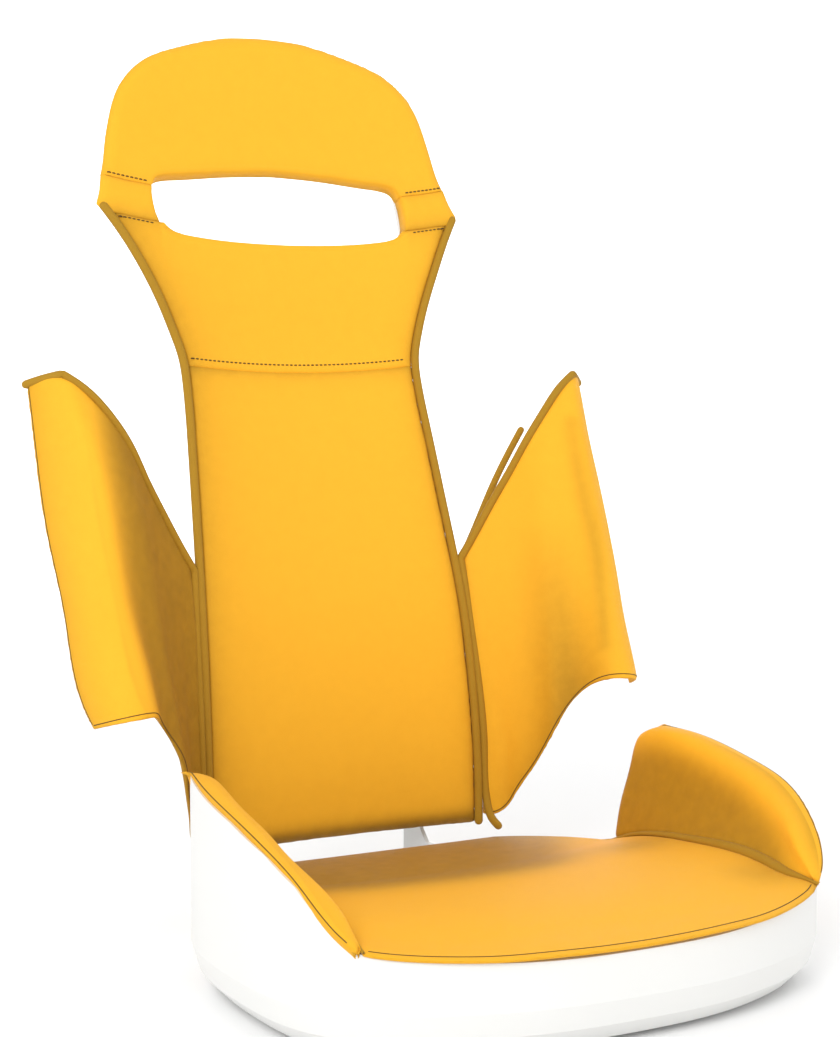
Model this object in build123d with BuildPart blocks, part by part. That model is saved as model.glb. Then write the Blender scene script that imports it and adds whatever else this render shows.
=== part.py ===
"""Bucket seat with a high back, two side wings and a tray with raised side bolsters.

Millimetres. +Z is up, the sitter faces -Y and X runs across the seat. The origin is on the
flat underside of the seat pan, at the centre of its four mounting inserts.
"""

import os
from math import cos, hypot, radians, sin

from build123d import *

os.makedirs("parts", exist_ok=True)

# --- driving dimensions: the back ---
BACK_BOTTOM = 64.0            # height of the back's lower edge
HEAD_TOP = 855.0              # height of the head panel's top
HIP_Y = 212.0                 # the back's face at its lower edge
LEAN = 176.0                  # how far the face leans back by the top
BOTTOM_HALF = 150.5           # half width at the lower edge
WAIST_HALF = 131.5            # half width at the waist
TIP_HALF = 199.5              # half width at the shoulder tips
HEAD_HALF = 176.0             # half width of the head above the tips
WAIST_HEIGHT = 505.0
TIP_HEIGHT = 678.0
HEAD_WIDE_HEIGHT = 762.0

# --- driving dimensions: the slot through the head ---
SLOT_HALF = 139.0
SLOT_TOP = 709.0
SLOT_BOTTOM = 650.0
SLOT_CROWN = 8.0              # how far both long edges curve
SLOT_CORNER = 13.0

# --- driving dimensions: layers ---
LEATHER = 3.0
FOAM = 18.0
BACK_SHELL = 5.0
WING_SHELL = 4.0
PIPING = 8.0                  # width of the piping bead
PIPING_PROUD = 2.0            # how far the bead stands out of the leather
PIPING_DEEP = 7.0
FOAM_INSET = 12.0
SHELL_INSET = 15.0
CLEAR = 0.4                   # gap between panels that lie side by side

# --- driving dimensions: seams across the back ---
UPPER_SEAM = 700.0
LOWER_SEAM = 662.0
CROSS_SEAM = 524.0
PIPING_TOP = 672.0

# --- driving dimensions: the wings ---
WING_HALF = 300.0             # half width over both wings
WING_PEAK = 514.0             # height of the wing's peak
WING_PEAK_HALF = WING_HALF - 26.0
WING_START = 328.0            # height where the wing's top edge leaves the back
WING_TIP_HALF = WING_HALF - 15.0
WING_TIP = 203.0              # height of the wing's lower front tip
ARCH_HEIGHT = 219.0           # top of the arch in the wing's lower edge
ARCH_HALF = WING_HALF - 44.0

# --- driving dimensions: the seat ---
SEAT_HALF = 257.0             # half width over the side bolsters
SEAT_FRONT = -279.0
SEAT_REAR = 204.5
SEAT_REAR_HALF = 150.0
STEP_HALF = 203.0             # half width of the pad behind the bolsters
STEP_Y = 62.0
BOLSTER_REAR_HALF = 240.0
BOLSTER_REAR_Y = 39.0
BOLSTER_TOP = 185.0
CREASE_HALF = 206.0           # where the pad meets the bolsters
WELT = 6.0
WELT_HIGH = 5.0
PAD_REAR = 53.0               # height of the pad's top at its rear edge
PAD_HIGH = 97.5               # and at its highest line, under the thighs
PAD_FRONT = 81.0
PAN_WALL = 4.5
PAN_FLOOR = 5.0
PAN_ROUND = 40.0              # radius along the pan's lower edge
RIM_DROP = 5.0                # the pan's rim lies under the leather by this much

# --- driving dimensions: mounting inserts in the floor of the pan ---
MOUNT_X = 280.0
MOUNT_Y = 240.0
INSERT_R = 8.0
INSERT_BORE_R = 4.2
INSERT_HIGH = 16.0
INSERT_POCKET = 34.0

# --- driving dimensions: recline hinge ---
PIVOT_Y = 267.0
PIVOT_Z = 86.0
CHEEK_X = 98.0                # inner face of the base bracket's cheek
PLATE = 4.0
WASHER = 2.0
WASHER_R = 13.0
EYE_R = 17.0                  # radius of both brackets round the pin
PIN_R = 5.0
PIN_FIT = 0.05
PIN_HEAD_R = 9.0
PIN_HEAD = 5.0
NUT_R = 9.0
NUT_HIGH = 7.0
ARM_LOW = 10.0
ARM_HIGH = 46.0
FOOT_WIDE = 46.0
BACK_FOOT_WIDE = 26.0
BACK_FOOT_LOW = 92.0
BACK_FOOT_HIGH = 188.0

# --- driving dimensions: fasteners ---
BOLT_R = 4.0
BOLT_HEAD_R = 7.0
BOLT_HEAD = 4.0
TEE_R = 9.5
TEE_FLANGE = 1.5
TEE_BARREL_R = 5.5
TEE_LONG = 9.0
WING_FOOT_LOW = 208.0
WING_FOOT_HIGH = 322.0
WING_FOOT_X = 104.0

WIDE = 900.0                  # longer than any cut needs


def shifted(points, distance):
    """The points of a line, each moved to the right of its direction, mitred at corners."""
    moved = []
    last = len(points) - 1
    for i, (a, b) in enumerate(points):
        normals = []
        for j in (i - 1, i):
            if 0 <= j < last:
                da = points[j + 1][0] - points[j][0]
                db = points[j + 1][1] - points[j][1]
                size = hypot(da, db)
                normals.append((db / size, -da / size))
        na = sum(n[0] for n in normals) / len(normals)
        nb = sum(n[1] for n in normals) / len(normals)
        square = na * na + nb * nb
        moved.append((a + distance * na / square, b + distance * nb / square))
    return moved


def between(points, b):
    """The first coordinate of a line where its second is b, the second one rising."""
    for (a0, b0), (a1, b1) in zip(points, points[1:]):
        if b <= b1:
            return a0 + (a1 - a0) * (b - b0) / (b1 - b0)
    return points[-1][0]


def flipped(points):
    """The same line on the other side of the seat, run the other way."""
    return [(-x, other) for x, other in reversed(points)]


# =====================================================================================
# The back: a leather face over foam on a moulded shell, all following one leaning line
# =====================================================================================

FACE_SHAPE = (                # share of the height, share of the lean
    (0.0, 0.0), (0.08, 0.01), (0.19, 0.065), (0.28, 0.14), (0.40, 0.295),
    (0.51, 0.45), (0.605, 0.58), (0.70, 0.665), (0.775, 0.775), (0.83, 0.865),
    (0.91, 0.93), (1.0, 1.0),
)
FACE = [
    (HIP_Y + LEAN * lean, BACK_BOTTOM + (HEAD_TOP - BACK_BOTTOM) * rise)
    for rise, lean in FACE_SHAPE
]

SIDE_LINE = [                 # from the tip down to the lower edge, on the right
    (TIP_HALF, TIP_HEIGHT),
    (WAIST_HALF + 0.50 * (TIP_HALF - WAIST_HALF), WAIST_HEIGHT + 0.605 * (TIP_HEIGHT - WAIST_HEIGHT)),
    (WAIST_HALF + 0.12 * (TIP_HALF - WAIST_HALF), WAIST_HEIGHT + 0.225 * (TIP_HEIGHT - WAIST_HEIGHT)),
    (WAIST_HALF, WAIST_HEIGHT),
    (WAIST_HALF + 0.42 * (BOTTOM_HALF - WAIST_HALF), BACK_BOTTOM + 0.71 * (WAIST_HEIGHT - BACK_BOTTOM)),
    (WAIST_HALF + 0.90 * (BOTTOM_HALF - WAIST_HALF), BACK_BOTTOM + 0.33 * (WAIST_HEIGHT - BACK_BOTTOM)),
    (BOTTOM_HALF, BACK_BOTTOM),
]
HEAD_RIGHT = [
    (HEAD_HALF * 0.54, TIP_HEIGHT + 0.91 * (HEAD_TOP - TIP_HEIGHT)),
    (HEAD_HALF * 0.85, TIP_HEIGHT + 0.75 * (HEAD_TOP - TIP_HEIGHT)),
    (HEAD_HALF, HEAD_WIDE_HEIGHT),
    (HEAD_HALF + 0.45 * (TIP_HALF - HEAD_HALF), TIP_HEIGHT + 0.21 * (HEAD_TOP - TIP_HEIGHT)),
]
EDGE = flipped(SIDE_LINE) + flipped(HEAD_RIGHT) + [(0, HEAD_TOP)] + HEAD_RIGHT + SIDE_LINE


def back_layer(near, far):
    """Side view of a layer that follows the back's face, between two depths behind it."""
    with BuildSketch(Plane.YZ) as layer:
        with BuildLine():
            front = Spline(*shifted(FACE, near))
            rear = Spline(*shifted(FACE, far))
            Line(front @ 0, rear @ 0)
            Line(front @ 1, rear @ 1)
        make_face()
    return layer.sketch


def back_outline(inset):
    """Front view of the back, its edge moved inwards."""
    edge = shifted(EDGE, inset)
    side = len(SIDE_LINE)
    low = BACK_BOTTOM + inset
    with BuildSketch(Plane.XZ) as outline:
        with BuildLine():
            left = Spline(*[(edge[0][0], low)] + edge[1:side])
            Spline(*edge[side - 1:-side + 1])
            right = Spline(*edge[-side:-1] + [(edge[-1][0], low)])
            Line(left @ 0, right @ 1)
        make_face()
    return outline.sketch


def slot_outline(grow):
    """Front view of the slot through the head; its long edges sag outwards in the middle."""
    half = SLOT_HALF + grow
    top = SLOT_TOP + grow
    low = SLOT_BOTTOM - grow
    with BuildSketch(Plane.XZ) as slot:
        with BuildLine():
            ThreePointArc((-half, top), (0, top + SLOT_CROWN), (half, top))
            ThreePointArc((-half, low), (0, low - SLOT_CROWN), (half, low))
            Line((-half, low), (-half, top))
            Line((half, low), (half, top))
        make_face()
        fillet(slot.vertices(), radius=SLOT_CORNER + grow)
    return slot.sketch


whole_outline = back_outline(0)
beaded_outline = back_outline(PIPING)
piping_layer = back_layer(-PIPING_PROUD, PIPING_DEEP)
leather_layer = back_layer(0, LEATHER)
slot_shape = slot_outline(0)

# a bead of piping runs down both side edges, from the shoulder tips to the lower edge
with BuildPart() as both_pipings:
    extrude(piping_layer, amount=WIDE / 2, both=True)
    extrude(whole_outline, amount=WIDE, both=True, mode=Mode.INTERSECT)
    extrude(beaded_outline, amount=WIDE, both=True, mode=Mode.SUBTRACT)
    split(bisect_by=Plane.XY.offset(BACK_BOTTOM + PIPING), keep=Keep.TOP)
    split(bisect_by=Plane.XY.offset(PIPING_TOP), keep=Keep.BOTTOM)

with BuildPart() as right_back_piping:
    add(both_pipings.part)
    split(bisect_by=Plane.YZ, keep=Keep.TOP)

with BuildPart() as left_back_piping:
    add(both_pipings.part)
    split(bisect_by=Plane.YZ, keep=Keep.BOTTOM)

# the whole leather face, then its five sewn panels
with BuildPart() as back_leather:
    extrude(leather_layer, amount=WIDE / 2, both=True)
    extrude(whole_outline, amount=WIDE, both=True, mode=Mode.INTERSECT)
    extrude(slot_shape, amount=WIDE, both=True, mode=Mode.SUBTRACT)
    add(both_pipings.part, mode=Mode.SUBTRACT)

with BuildPart() as head_cover:
    add(back_leather.part)
    split(bisect_by=Plane.XY.offset(UPPER_SEAM), keep=Keep.TOP)

with BuildPart() as slot_tabs:
    add(back_leather.part)
    split(bisect_by=Plane.XY.offset(UPPER_SEAM), keep=Keep.BOTTOM)
    split(bisect_by=Plane.XY.offset(LOWER_SEAM), keep=Keep.TOP)

with BuildPart() as right_slot_cover:
    add(slot_tabs.part)
    split(bisect_by=Plane.YZ, keep=Keep.TOP)

with BuildPart() as left_slot_cover:
    add(slot_tabs.part)
    split(bisect_by=Plane.YZ, keep=Keep.BOTTOM)

with BuildPart() as shoulder_cover:
    add(back_leather.part)
    split(bisect_by=Plane.XY.offset(LOWER_SEAM), keep=Keep.BOTTOM)
    split(bisect_by=Plane.XY.offset(CROSS_SEAM), keep=Keep.TOP)

with BuildPart() as lower_back_cover:
    add(back_leather.part)
    split(bisect_by=Plane.XY.offset(CROSS_SEAM), keep=Keep.BOTTOM)


SHELL_FRONT = LEATHER + FOAM
SHELL_BACK = SHELL_FRONT + BACK_SHELL
FOOT_BACK = SHELL_BACK + PLATE
WING_FOOT_BACK = SHELL_BACK + WING_SHELL


def face_y(z, depth):
    """The Y of a layer of the back at a height."""
    return between(shifted(FACE, depth), z)


# =====================================================================================
# The wings: each a folded pad, its inner flank, its nose and its short outer flank lofted
# up the seat, then cut to its outline from the front
# =====================================================================================

WING_ROWS = (                 # share of the peak's height, then for the inner side of the nose,
    # its outer side and the outer seam: share of the wings' half width, reach ahead of the back
    (0.110, 0.717, 137.0, 0.783, 142.0, 0.873, 102.0),
    (0.315, 0.740, 133.0, 0.810, 138.0, 0.907, 92.0),
    (0.400, 0.787, 111.0, 0.857, 117.0, 0.950, 72.0),
    (0.531, 0.820, 96.0, 0.890, 93.0, 0.967, 47.0),
    (0.615, 0.840, 90.0, 0.900, 85.0, 0.973, 38.0),
    (0.782, 0.853, 88.0, 0.900, 79.0, 0.987, 22.0),
    (0.924, 0.867, 73.0, 0.903, 70.0, 0.993, 12.0),
    (1.040, 0.883, 64.0, 0.920, 58.0, 1.000, 4.0),
)
WING_TOP_SHAPE = (            # share of the way across, share of the way up to the peak
    (0.0, 0.0), (0.117, 0.14), (0.258, 0.309), (0.398, 0.471), (0.523, 0.634),
    (0.68, 0.79), (0.86, 0.925), (1.0, 1.0),
)
WING_LOW_SHAPE = (            # from the arch's top inwards, share of the way out, and up
    (1.0, 1.0), (0.865, 0.973), (0.705, 0.904), (0.58, 0.823), (0.446, 0.717), (0.33, 0.60), (0.0, 0.0),
)
WING_CORNER_DROP = 14.0       # the outer top corner lies this far under the peak
WING_LOW_END = 6.0            # the wing's inner edge stops this far over the back's lower edge


def wing_line(row):
    """Plan of the wing's leather at one height, from the back's edge to the outer seam."""
    rise, nose_x, nose_reach, crest_x, crest_reach, seam_x, seam_reach = row
    z = rise * WING_PEAK
    y = face_y(z, 0)
    edge = between([(x, up) for x, up in reversed(SIDE_LINE)], z)
    return z, [
        (edge - PIPING, y + PIPING * nose_reach / (nose_x * WING_HALF - edge)),
        (nose_x * WING_HALF, y - nose_reach),
        (crest_x * WING_HALF, y - crest_reach),
        (seam_x * WING_HALF, y - seam_reach),
    ]


def sunk(line, depth):
    """The wing's plan line moved behind its leather; deep down its nose is one sharp fold."""
    if depth > PIPING_DEEP:
        (x0, y0), (x1, y1), (x2, y2), (x3, y3) = line
        cross = (x1 - x0) * (y3 - y2) - (y1 - y0) * (x3 - x2)
        along = ((x2 - x0) * (y3 - y2) - (y2 - y0) * (x3 - x2)) / cross
        fold = (x0 + along * (x1 - x0), y0 + along * (y1 - y0))
        line = [line[0], fold, line[3]]
    return shifted(line, -depth)


def wing_layer(near, far, rim=0.0):
    """A layer of the wing between two depths behind its leather; a rim turns in behind it."""
    with BuildPart() as layer:
        for row in WING_ROWS:
            z, line = wing_line(row)
            front = sunk(line, near)
            rear = sunk(line, far)
            if rim:
                x = line[0][0] + PIPING
                front.insert(0, (x, face_y(z, SHELL_BACK)))
                rear.insert(0, (x, face_y(z, SHELL_BACK + rim)))
            with BuildSketch(Plane.XY.offset(z)):
                with BuildLine():
                    Polyline(*front, *reversed(rear), close=True)
                make_face()
        loft(ruled=True)
    return layer.part


def wing_outline(inset, outer_inset):
    """Front view of the right wing; its top edge and its lower edges move inwards.

    Its inner side runs inside the back's edge, which is cut away afterwards.
    """
    side = [(x, z) for x, z in reversed(SIDE_LINE)]
    foot = (WAIST_HALF, BACK_BOTTOM + WING_LOW_END)
    start = (between(side, WING_START), WING_START)
    across = WING_PEAK_HALF - start[0]
    up = WING_PEAK - WING_START
    top = [(start[0] + a * across, start[1] + b * up) for a, b in WING_TOP_SHAPE]
    top = shifted(top, inset)
    low_x = ARCH_HALF - between(side, foot[1])
    low_z = ARCH_HEIGHT - foot[1]
    low = [(ARCH_HALF - low_x * (1 - a), foot[1] + b * low_z + outer_inset * b) for a, b in WING_LOW_SHAPE]
    corner = (WING_HALF + PIPING, WING_PEAK - WING_CORNER_DROP - inset)
    tip = (WING_TIP_HALF, WING_TIP + outer_inset)
    with BuildSketch(Plane.XZ) as outline:
        with BuildLine():
            Polyline(low[-1], foot, (WAIST_HALF, top[0][1]), top[0])
            Spline(*top)
            Polyline(top[-1], corner, (corner[0], tip[1]), tip)
            Spline(tip, ((tip[0] + low[0][0]) / 2, low[0][1] - 0.22 * (low[0][1] - tip[1])), low[0])
            Spline(*low)
        make_face()
    return outline.sketch


top_edge = wing_outline(0, 0)
beaded_edge = wing_outline(PIPING, 0)
foam_edge = wing_outline(PIPING, LEATHER)
shell_edge = wing_outline(CLEAR, CLEAR)
wing_bead = wing_layer(-PIPING_PROUD, PIPING_DEEP)
wing_leather = wing_layer(0, LEATHER)
wing_padding = wing_layer(LEATHER, SHELL_FRONT)
wing_moulding = wing_layer(SHELL_FRONT, SHELL_FRONT + WING_SHELL, rim=WING_SHELL)
back_face_layer = back_layer(SHELL_BACK, WING_FOOT_BACK)
back_side = back_outline(-CLEAR)
back_side_bead = back_outline(-CLEAR - PIPING)

with BuildPart() as inside_bead_block:
    extrude(beaded_edge, amount=WIDE, both=True)
    extrude(back_side_bead, amount=WIDE, both=True, mode=Mode.SUBTRACT)
inside_bead = inside_bead_block.part

with BuildPart() as right_wing_piping:
    add(wing_bead)
    extrude(top_edge, amount=WIDE, both=True, mode=Mode.INTERSECT)
    extrude(back_side, amount=WIDE, both=True, mode=Mode.SUBTRACT)
    add(inside_bead, mode=Mode.SUBTRACT)

with BuildPart() as right_wing_cover:
    add(wing_leather)
    add(inside_bead, mode=Mode.INTERSECT)

with BuildPart() as right_wing_foam:
    add(wing_padding)
    extrude(foam_edge, amount=WIDE, both=True, mode=Mode.INTERSECT)
    extrude(back_side_bead, amount=WIDE, both=True, mode=Mode.SUBTRACT)



# =====================================================================================
# Fasteners: button-head bolts, and flanged nuts pressed into the foam side of a shell
# =====================================================================================

def bolts_along_y(places, reach):
    """Bolts whose heads stand on +Y and whose shanks reach towards -Y."""
    with BuildPart() as bolts:
        for x, y, z in places:
            with BuildSketch(Plane((x, y, z), z_dir=(0, 1, 0))):
                Circle(BOLT_HEAD_R)
            extrude(amount=BOLT_HEAD)
            with BuildSketch(Plane((x, y, z), z_dir=(0, -1, 0))):
                Circle(BOLT_R)
            extrude(amount=reach)
        flat_tops = bolts.faces().filter_by(GeomType.PLANE).filter_by(lambda face: face.normal_at().Y > 0.5)
        fillet(flat_tops.edges(), radius=BOLT_HEAD / 2)
    return bolts.part


def tee_nuts_along_y(places):
    """Flanged nuts with their flange on +Y and a clear bore."""
    with BuildPart() as nuts:
        for x, y, z in places:
            with BuildSketch(Plane((x, y, z), z_dir=(0, -1, 0))):
                Circle(TEE_R)
            extrude(amount=TEE_FLANGE)
            with BuildSketch(Plane((x, y, z), z_dir=(0, -1, 0))):
                Circle(TEE_BARREL_R)
            extrude(amount=TEE_LONG)
    return nuts.part


def on_both_sides(places):
    """The same places on both sides of the seat."""
    return list(places) + [(-x, y, z) for x, y, z in places]


back_bolt_x = CHEEK_X + PLATE + WASHER + BACK_FOOT_WIDE - 10
back_bolt_z = (BACK_FOOT_LOW + 20, BACK_FOOT_HIGH - 20)
wing_bolt_x = WING_FOOT_X + 14
wing_bolt_z = (WING_FOOT_LOW + 20, WING_FOOT_HIGH - 20)
base_bolt_x = (CHEEK_X + PLATE - FOOT_WIDE + 10, CHEEK_X - 10)
base_bolt_z = (ARM_LOW + ARM_HIGH) / 2

back_bolt_places = on_both_sides([(back_bolt_x, face_y(z, FOOT_BACK), z) for z in back_bolt_z])
wing_bolt_places = on_both_sides([(wing_bolt_x, face_y(z, WING_FOOT_BACK), z) for z in wing_bolt_z])
base_bolt_places = on_both_sides([(x, SEAT_REAR + PLATE, base_bolt_z) for x in base_bolt_x])
back_nut_places = on_both_sides(
    [(back_bolt_x, face_y(z, SHELL_FRONT), z) for z in back_bolt_z]
    + [(wing_bolt_x, face_y(z, SHELL_FRONT), z) for z in wing_bolt_z]
)
seat_nut_places = on_both_sides([(x, SEAT_REAR - PAN_WALL, base_bolt_z) for x in base_bolt_x])

back_reach = PLATE + BACK_SHELL + TEE_LONG - 2
back_bracket_bolts = bolts_along_y(back_bolt_places, back_reach)
wing_bolts = bolts_along_y(wing_bolt_places, back_reach)
base_bracket_bolts = bolts_along_y(base_bolt_places, PLATE + PAN_WALL + TEE_LONG - 2)
back_nut_blanks = tee_nuts_along_y(back_nut_places)
seat_nut_blanks = tee_nuts_along_y(seat_nut_places)

with BuildPart() as back_tee_nuts:
    add(back_nut_blanks)
    add(back_bracket_bolts, mode=Mode.SUBTRACT)
    add(wing_bolts, mode=Mode.SUBTRACT)

with BuildPart() as seat_tee_nuts:
    add(seat_nut_blanks)
    add(base_bracket_bolts, mode=Mode.SUBTRACT)

# --- the back's foam and shell, and the wings' shells, drilled for those fasteners ---

foam_layer = back_layer(LEATHER, SHELL_FRONT)
shell_layer = back_layer(SHELL_FRONT, SHELL_BACK)
foam_outline = back_outline(FOAM_INSET)
shell_outline = back_outline(SHELL_INSET)

with BuildPart() as back_foam:
    extrude(foam_layer, amount=WIDE / 2, both=True)
    extrude(foam_outline, amount=WIDE, both=True, mode=Mode.INTERSECT)
    extrude(slot_shape, amount=WIDE, both=True, mode=Mode.SUBTRACT)
    add(back_nut_blanks, mode=Mode.SUBTRACT)
    add(back_bracket_bolts, mode=Mode.SUBTRACT)
    add(wing_bolts, mode=Mode.SUBTRACT)

with BuildPart() as back_shell:
    extrude(shell_layer, amount=WIDE / 2, both=True)
    extrude(shell_outline, amount=WIDE, both=True, mode=Mode.INTERSECT)
    extrude(slot_shape, amount=WIDE, both=True, mode=Mode.SUBTRACT)
    add(back_nut_blanks, mode=Mode.SUBTRACT)
    add(back_bracket_bolts, mode=Mode.SUBTRACT)
    add(wing_bolts, mode=Mode.SUBTRACT)

with BuildPart() as wing_foot:
    extrude(back_face_layer, amount=WIDE / 2, both=True)
    with BuildSketch(Plane.XZ):
        with Locations(((WING_FOOT_X + BOTTOM_HALF + CLEAR) / 2, (WING_FOOT_LOW + WING_FOOT_HIGH) / 2)):
            Rectangle(BOTTOM_HALF + CLEAR - WING_FOOT_X, WING_FOOT_HIGH - WING_FOOT_LOW)
    extrude(amount=WIDE, both=True, mode=Mode.INTERSECT)

with BuildPart() as right_wing_shell:
    add(wing_moulding)
    extrude(shell_edge, amount=WIDE, both=True, mode=Mode.INTERSECT)
    extrude(back_side, amount=WIDE, both=True, mode=Mode.SUBTRACT)
    add(wing_foot.part)
    add(back_shell.part, mode=Mode.SUBTRACT)
    add(wing_bolts, mode=Mode.SUBTRACT)

# =====================================================================================
# The seat: a moulded pan, a foam cushion, two side bolsters and their leather
# =====================================================================================

SEAT_LONG = BOLSTER_REAR_Y - SEAT_FRONT
PAD_LONG = SEAT_REAR - SEAT_FRONT

FRONT_SHAPE = (               # from the bolster's rear end: share of the half width, share forward
    (0.988, 0.186), (1.0, 0.371), (0.988, 0.563), (0.922, 0.73), (0.80, 0.83),
    (0.58, 0.925), (0.31, 0.985),
)
REAR_SHAPE = (                # from the step: share of the way in to the rear corner, and back
    (0.12, 0.40), (0.43, 0.78),
)
FRONT_EDGE = (
    [(BOLSTER_REAR_HALF, BOLSTER_REAR_Y)]
    + [(SEAT_HALF * a, BOLSTER_REAR_Y - SEAT_LONG * b) for a, b in FRONT_SHAPE]
)
REAR_EDGE = (
    [(SEAT_REAR_HALF, SEAT_REAR)]
    + [
        (STEP_HALF - a * (STEP_HALF - SEAT_REAR_HALF), STEP_Y + b * (SEAT_REAR - STEP_Y))
        for a, b in reversed(REAR_SHAPE)
    ]
    + [(STEP_HALF, STEP_Y)]
)
RIGHT_PLAN = REAR_EDGE + FRONT_EDGE
PLAN = RIGHT_PLAN + [(0, SEAT_FRONT)] + flipped(RIGHT_PLAN)


def seat_plan(inset, z, rear_inset=0.0):
    """Plan of the seat at its rim, moved inwards, drawn at a height."""
    edge = shifted(PLAN, inset)
    rear = len(REAR_EDGE)
    y = SEAT_REAR - rear_inset
    with BuildSketch(Plane.XY.offset(z)) as plan:
        with BuildLine():
            right = Spline(*[(edge[0][0], y)] + edge[1:rear])
            Line(edge[rear - 1], edge[rear])
            Spline(*edge[rear:-rear])
            Line(edge[-rear - 1], edge[-rear])
            left = Spline(*edge[-rear:-1] + [(edge[-1][0], y)])
            Line(right @ 0, left @ 1)
        make_face()
    return plan.sketch


def tub(wall, floor, rounding, high):
    """The seat's plan raised from a floor, rounded in underneath except along its flat rear."""
    with BuildPart() as solid:
        for turn in (0, 30, 60, 90):
            inset = wall + rounding * (1 - sin(radians(turn)))
            add(seat_plan(inset, floor + rounding * (1 - cos(radians(turn))), wall))
        loft(ruled=True)
        add(seat_plan(wall, floor + rounding, wall))
        extrude(amount=high - floor - rounding)
    return solid.part


PAD_LINE = [                  # the pad's top from the rear edge forwards
    (SEAT_REAR, PAD_REAR),
    (STEP_Y, PAD_REAR + 0.47 * (PAD_HIGH - PAD_REAR)),
    (SEAT_REAR - 0.38 * PAD_LONG, PAD_REAR + 0.70 * (PAD_HIGH - PAD_REAR)),
    (SEAT_REAR - 0.55 * PAD_LONG, PAD_REAR + 0.93 * (PAD_HIGH - PAD_REAR)),
    (SEAT_REAR - 0.68 * PAD_LONG, PAD_HIGH),
    (SEAT_REAR - 0.82 * PAD_LONG, PAD_FRONT + 0.70 * (PAD_HIGH - PAD_FRONT)),
    (SEAT_REAR - 0.92 * PAD_LONG, PAD_FRONT + 0.33 * (PAD_HIGH - PAD_FRONT)),
    (SEAT_FRONT, PAD_FRONT),
]


def pad_layer(high, low):
    """Side view of a layer of the seat pad, from a height over its top to one under it."""
    with BuildSketch(Plane.YZ) as layer:
        with BuildLine():
            upper = Spline(*[(y, z + high) for y, z in PAD_LINE])
            lower = Spline(*[(y, z + low) for y, z in PAD_LINE])
            Line(upper @ 0, lower @ 0)
            Line(upper @ 1, lower @ 1)
        make_face()
    return layer.sketch


def pad_block(low_z, drop):
    """Side view of everything between a height and the pad's top less a drop."""
    with BuildSketch(Plane.YZ) as block:
        with BuildLine():
            upper = Spline(*[(y, z - drop) for y, z in PAD_LINE])
            Polyline(upper @ 0, (SEAT_REAR, low_z), (SEAT_FRONT, low_z), upper @ 1)
        make_face()
    return block.sketch


# rows along a bolster: Y as a share of the seat's length, then the crest's and the outer
# seam's share of the half width and share of the bolster's height over the floor
BOLSTER_ROWS = (
    (-0.08, 0.879, 0.951, 0.934, 1.010),
    (0.0, 0.887, 0.978, 0.934, 1.0),
    (0.14, 0.907, 0.962, 0.981, 0.973),
    (0.371, 0.918, 0.881, 1.0, 0.908),
    (0.553, 0.903, 0.784, 0.992, 0.832),
    (0.667, 0.868, 0.708, 0.961, 0.735),
    (0.733, 0.837, 0.627, 0.922, 0.622),
    (0.786, 0.822, 0.540, 0.860, 0.514),
    (0.815, 0.809, 0.500, 0.825, 0.486),
)


def bolster_points(row, drop):
    """Y, then the crease, crest and outer seam of a bolster's leather, all lowered by a drop."""
    along, crest_x, crest_z, seam_x, seam_z = row
    y = BOLSTER_REAR_Y - along * SEAT_LONG
    crease_z = between([(z, -at) for at, z in PAD_LINE], -y)
    return y, [
        (CREASE_HALF, crease_z - drop),
        (crest_x * SEAT_HALF, crest_z * BOLSTER_TOP - drop),
        (seam_x * SEAT_HALF + WELT, seam_z * BOLSTER_TOP - drop),
    ]


def bolster_loft(drop, deep):
    """The bolster from its leather, less a drop, down by a depth, or to the floor for None."""
    with BuildPart() as solid:
        for row in BOLSTER_ROWS:
            y, top = bolster_points(row, drop)
            if deep is None:
                low = [(top[-1][0], 0), (CREASE_HALF, 0)]
            else:
                low = [(x, z - deep) for x, z in reversed(top)]
            with BuildSketch(Plane.XZ.offset(-y)):
                with BuildLine():
                    Polyline(*top, *low, close=True)
                make_face()
        loft(ruled=True)
    return solid.part


def rim_cut():
    """Side view of the space over the pan's rim, from its front round the bolsters to its rear."""
    rear_z = PAD_REAR - RIM_DROP
    step_z = between([(z, -y) for y, z in PAD_LINE], -STEP_Y) - RIM_DROP
    side = [
        (BOLSTER_REAR_Y - along * SEAT_LONG, seam_z * BOLSTER_TOP - RIM_DROP)
        for along, _, _, _, seam_z in BOLSTER_ROWS[1:]
    ]
    sky = BOLSTER_TOP + WIDE / 2
    with BuildSketch(Plane.YZ) as cut:
        with BuildLine():
            Polyline(
                (SEAT_FRONT - 5, sky), (SEAT_REAR + 5, sky), (SEAT_REAR + 5, rear_z),
                (SEAT_REAR, rear_z), (STEP_Y, step_z), side[0],
            )
            Polyline(*side, (SEAT_FRONT, PAD_FRONT - RIM_DROP), (SEAT_FRONT - 5, PAD_FRONT - RIM_DROP))
            Line((SEAT_FRONT - 5, PAD_FRONT - RIM_DROP), (SEAT_FRONT - 5, sky))
        make_face()
    return cut.sketch


def bolster_reach():
    """Side view of the bolsters' length: their rear ends lean forwards as they rise."""
    foot = STEP_Y + 0.5
    with BuildSketch(Plane.YZ) as reach:
        with BuildLine():
            Polyline(
                (foot, 0), (foot, 0.4 * BOLSTER_TOP), (foot - 2, 0.66 * BOLSTER_TOP),
                (BOLSTER_REAR_Y, BOLSTER_TOP), (BOLSTER_REAR_Y, BOLSTER_TOP + 20),
                (SEAT_FRONT, BOLSTER_TOP + 20), (SEAT_FRONT, 0), close=True,
            )
        make_face()
    return reach.sketch


def mount_places():
    """The four mounting inserts' centres."""
    return GridLocations(MOUNT_X, MOUNT_Y, 2, 2)


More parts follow.
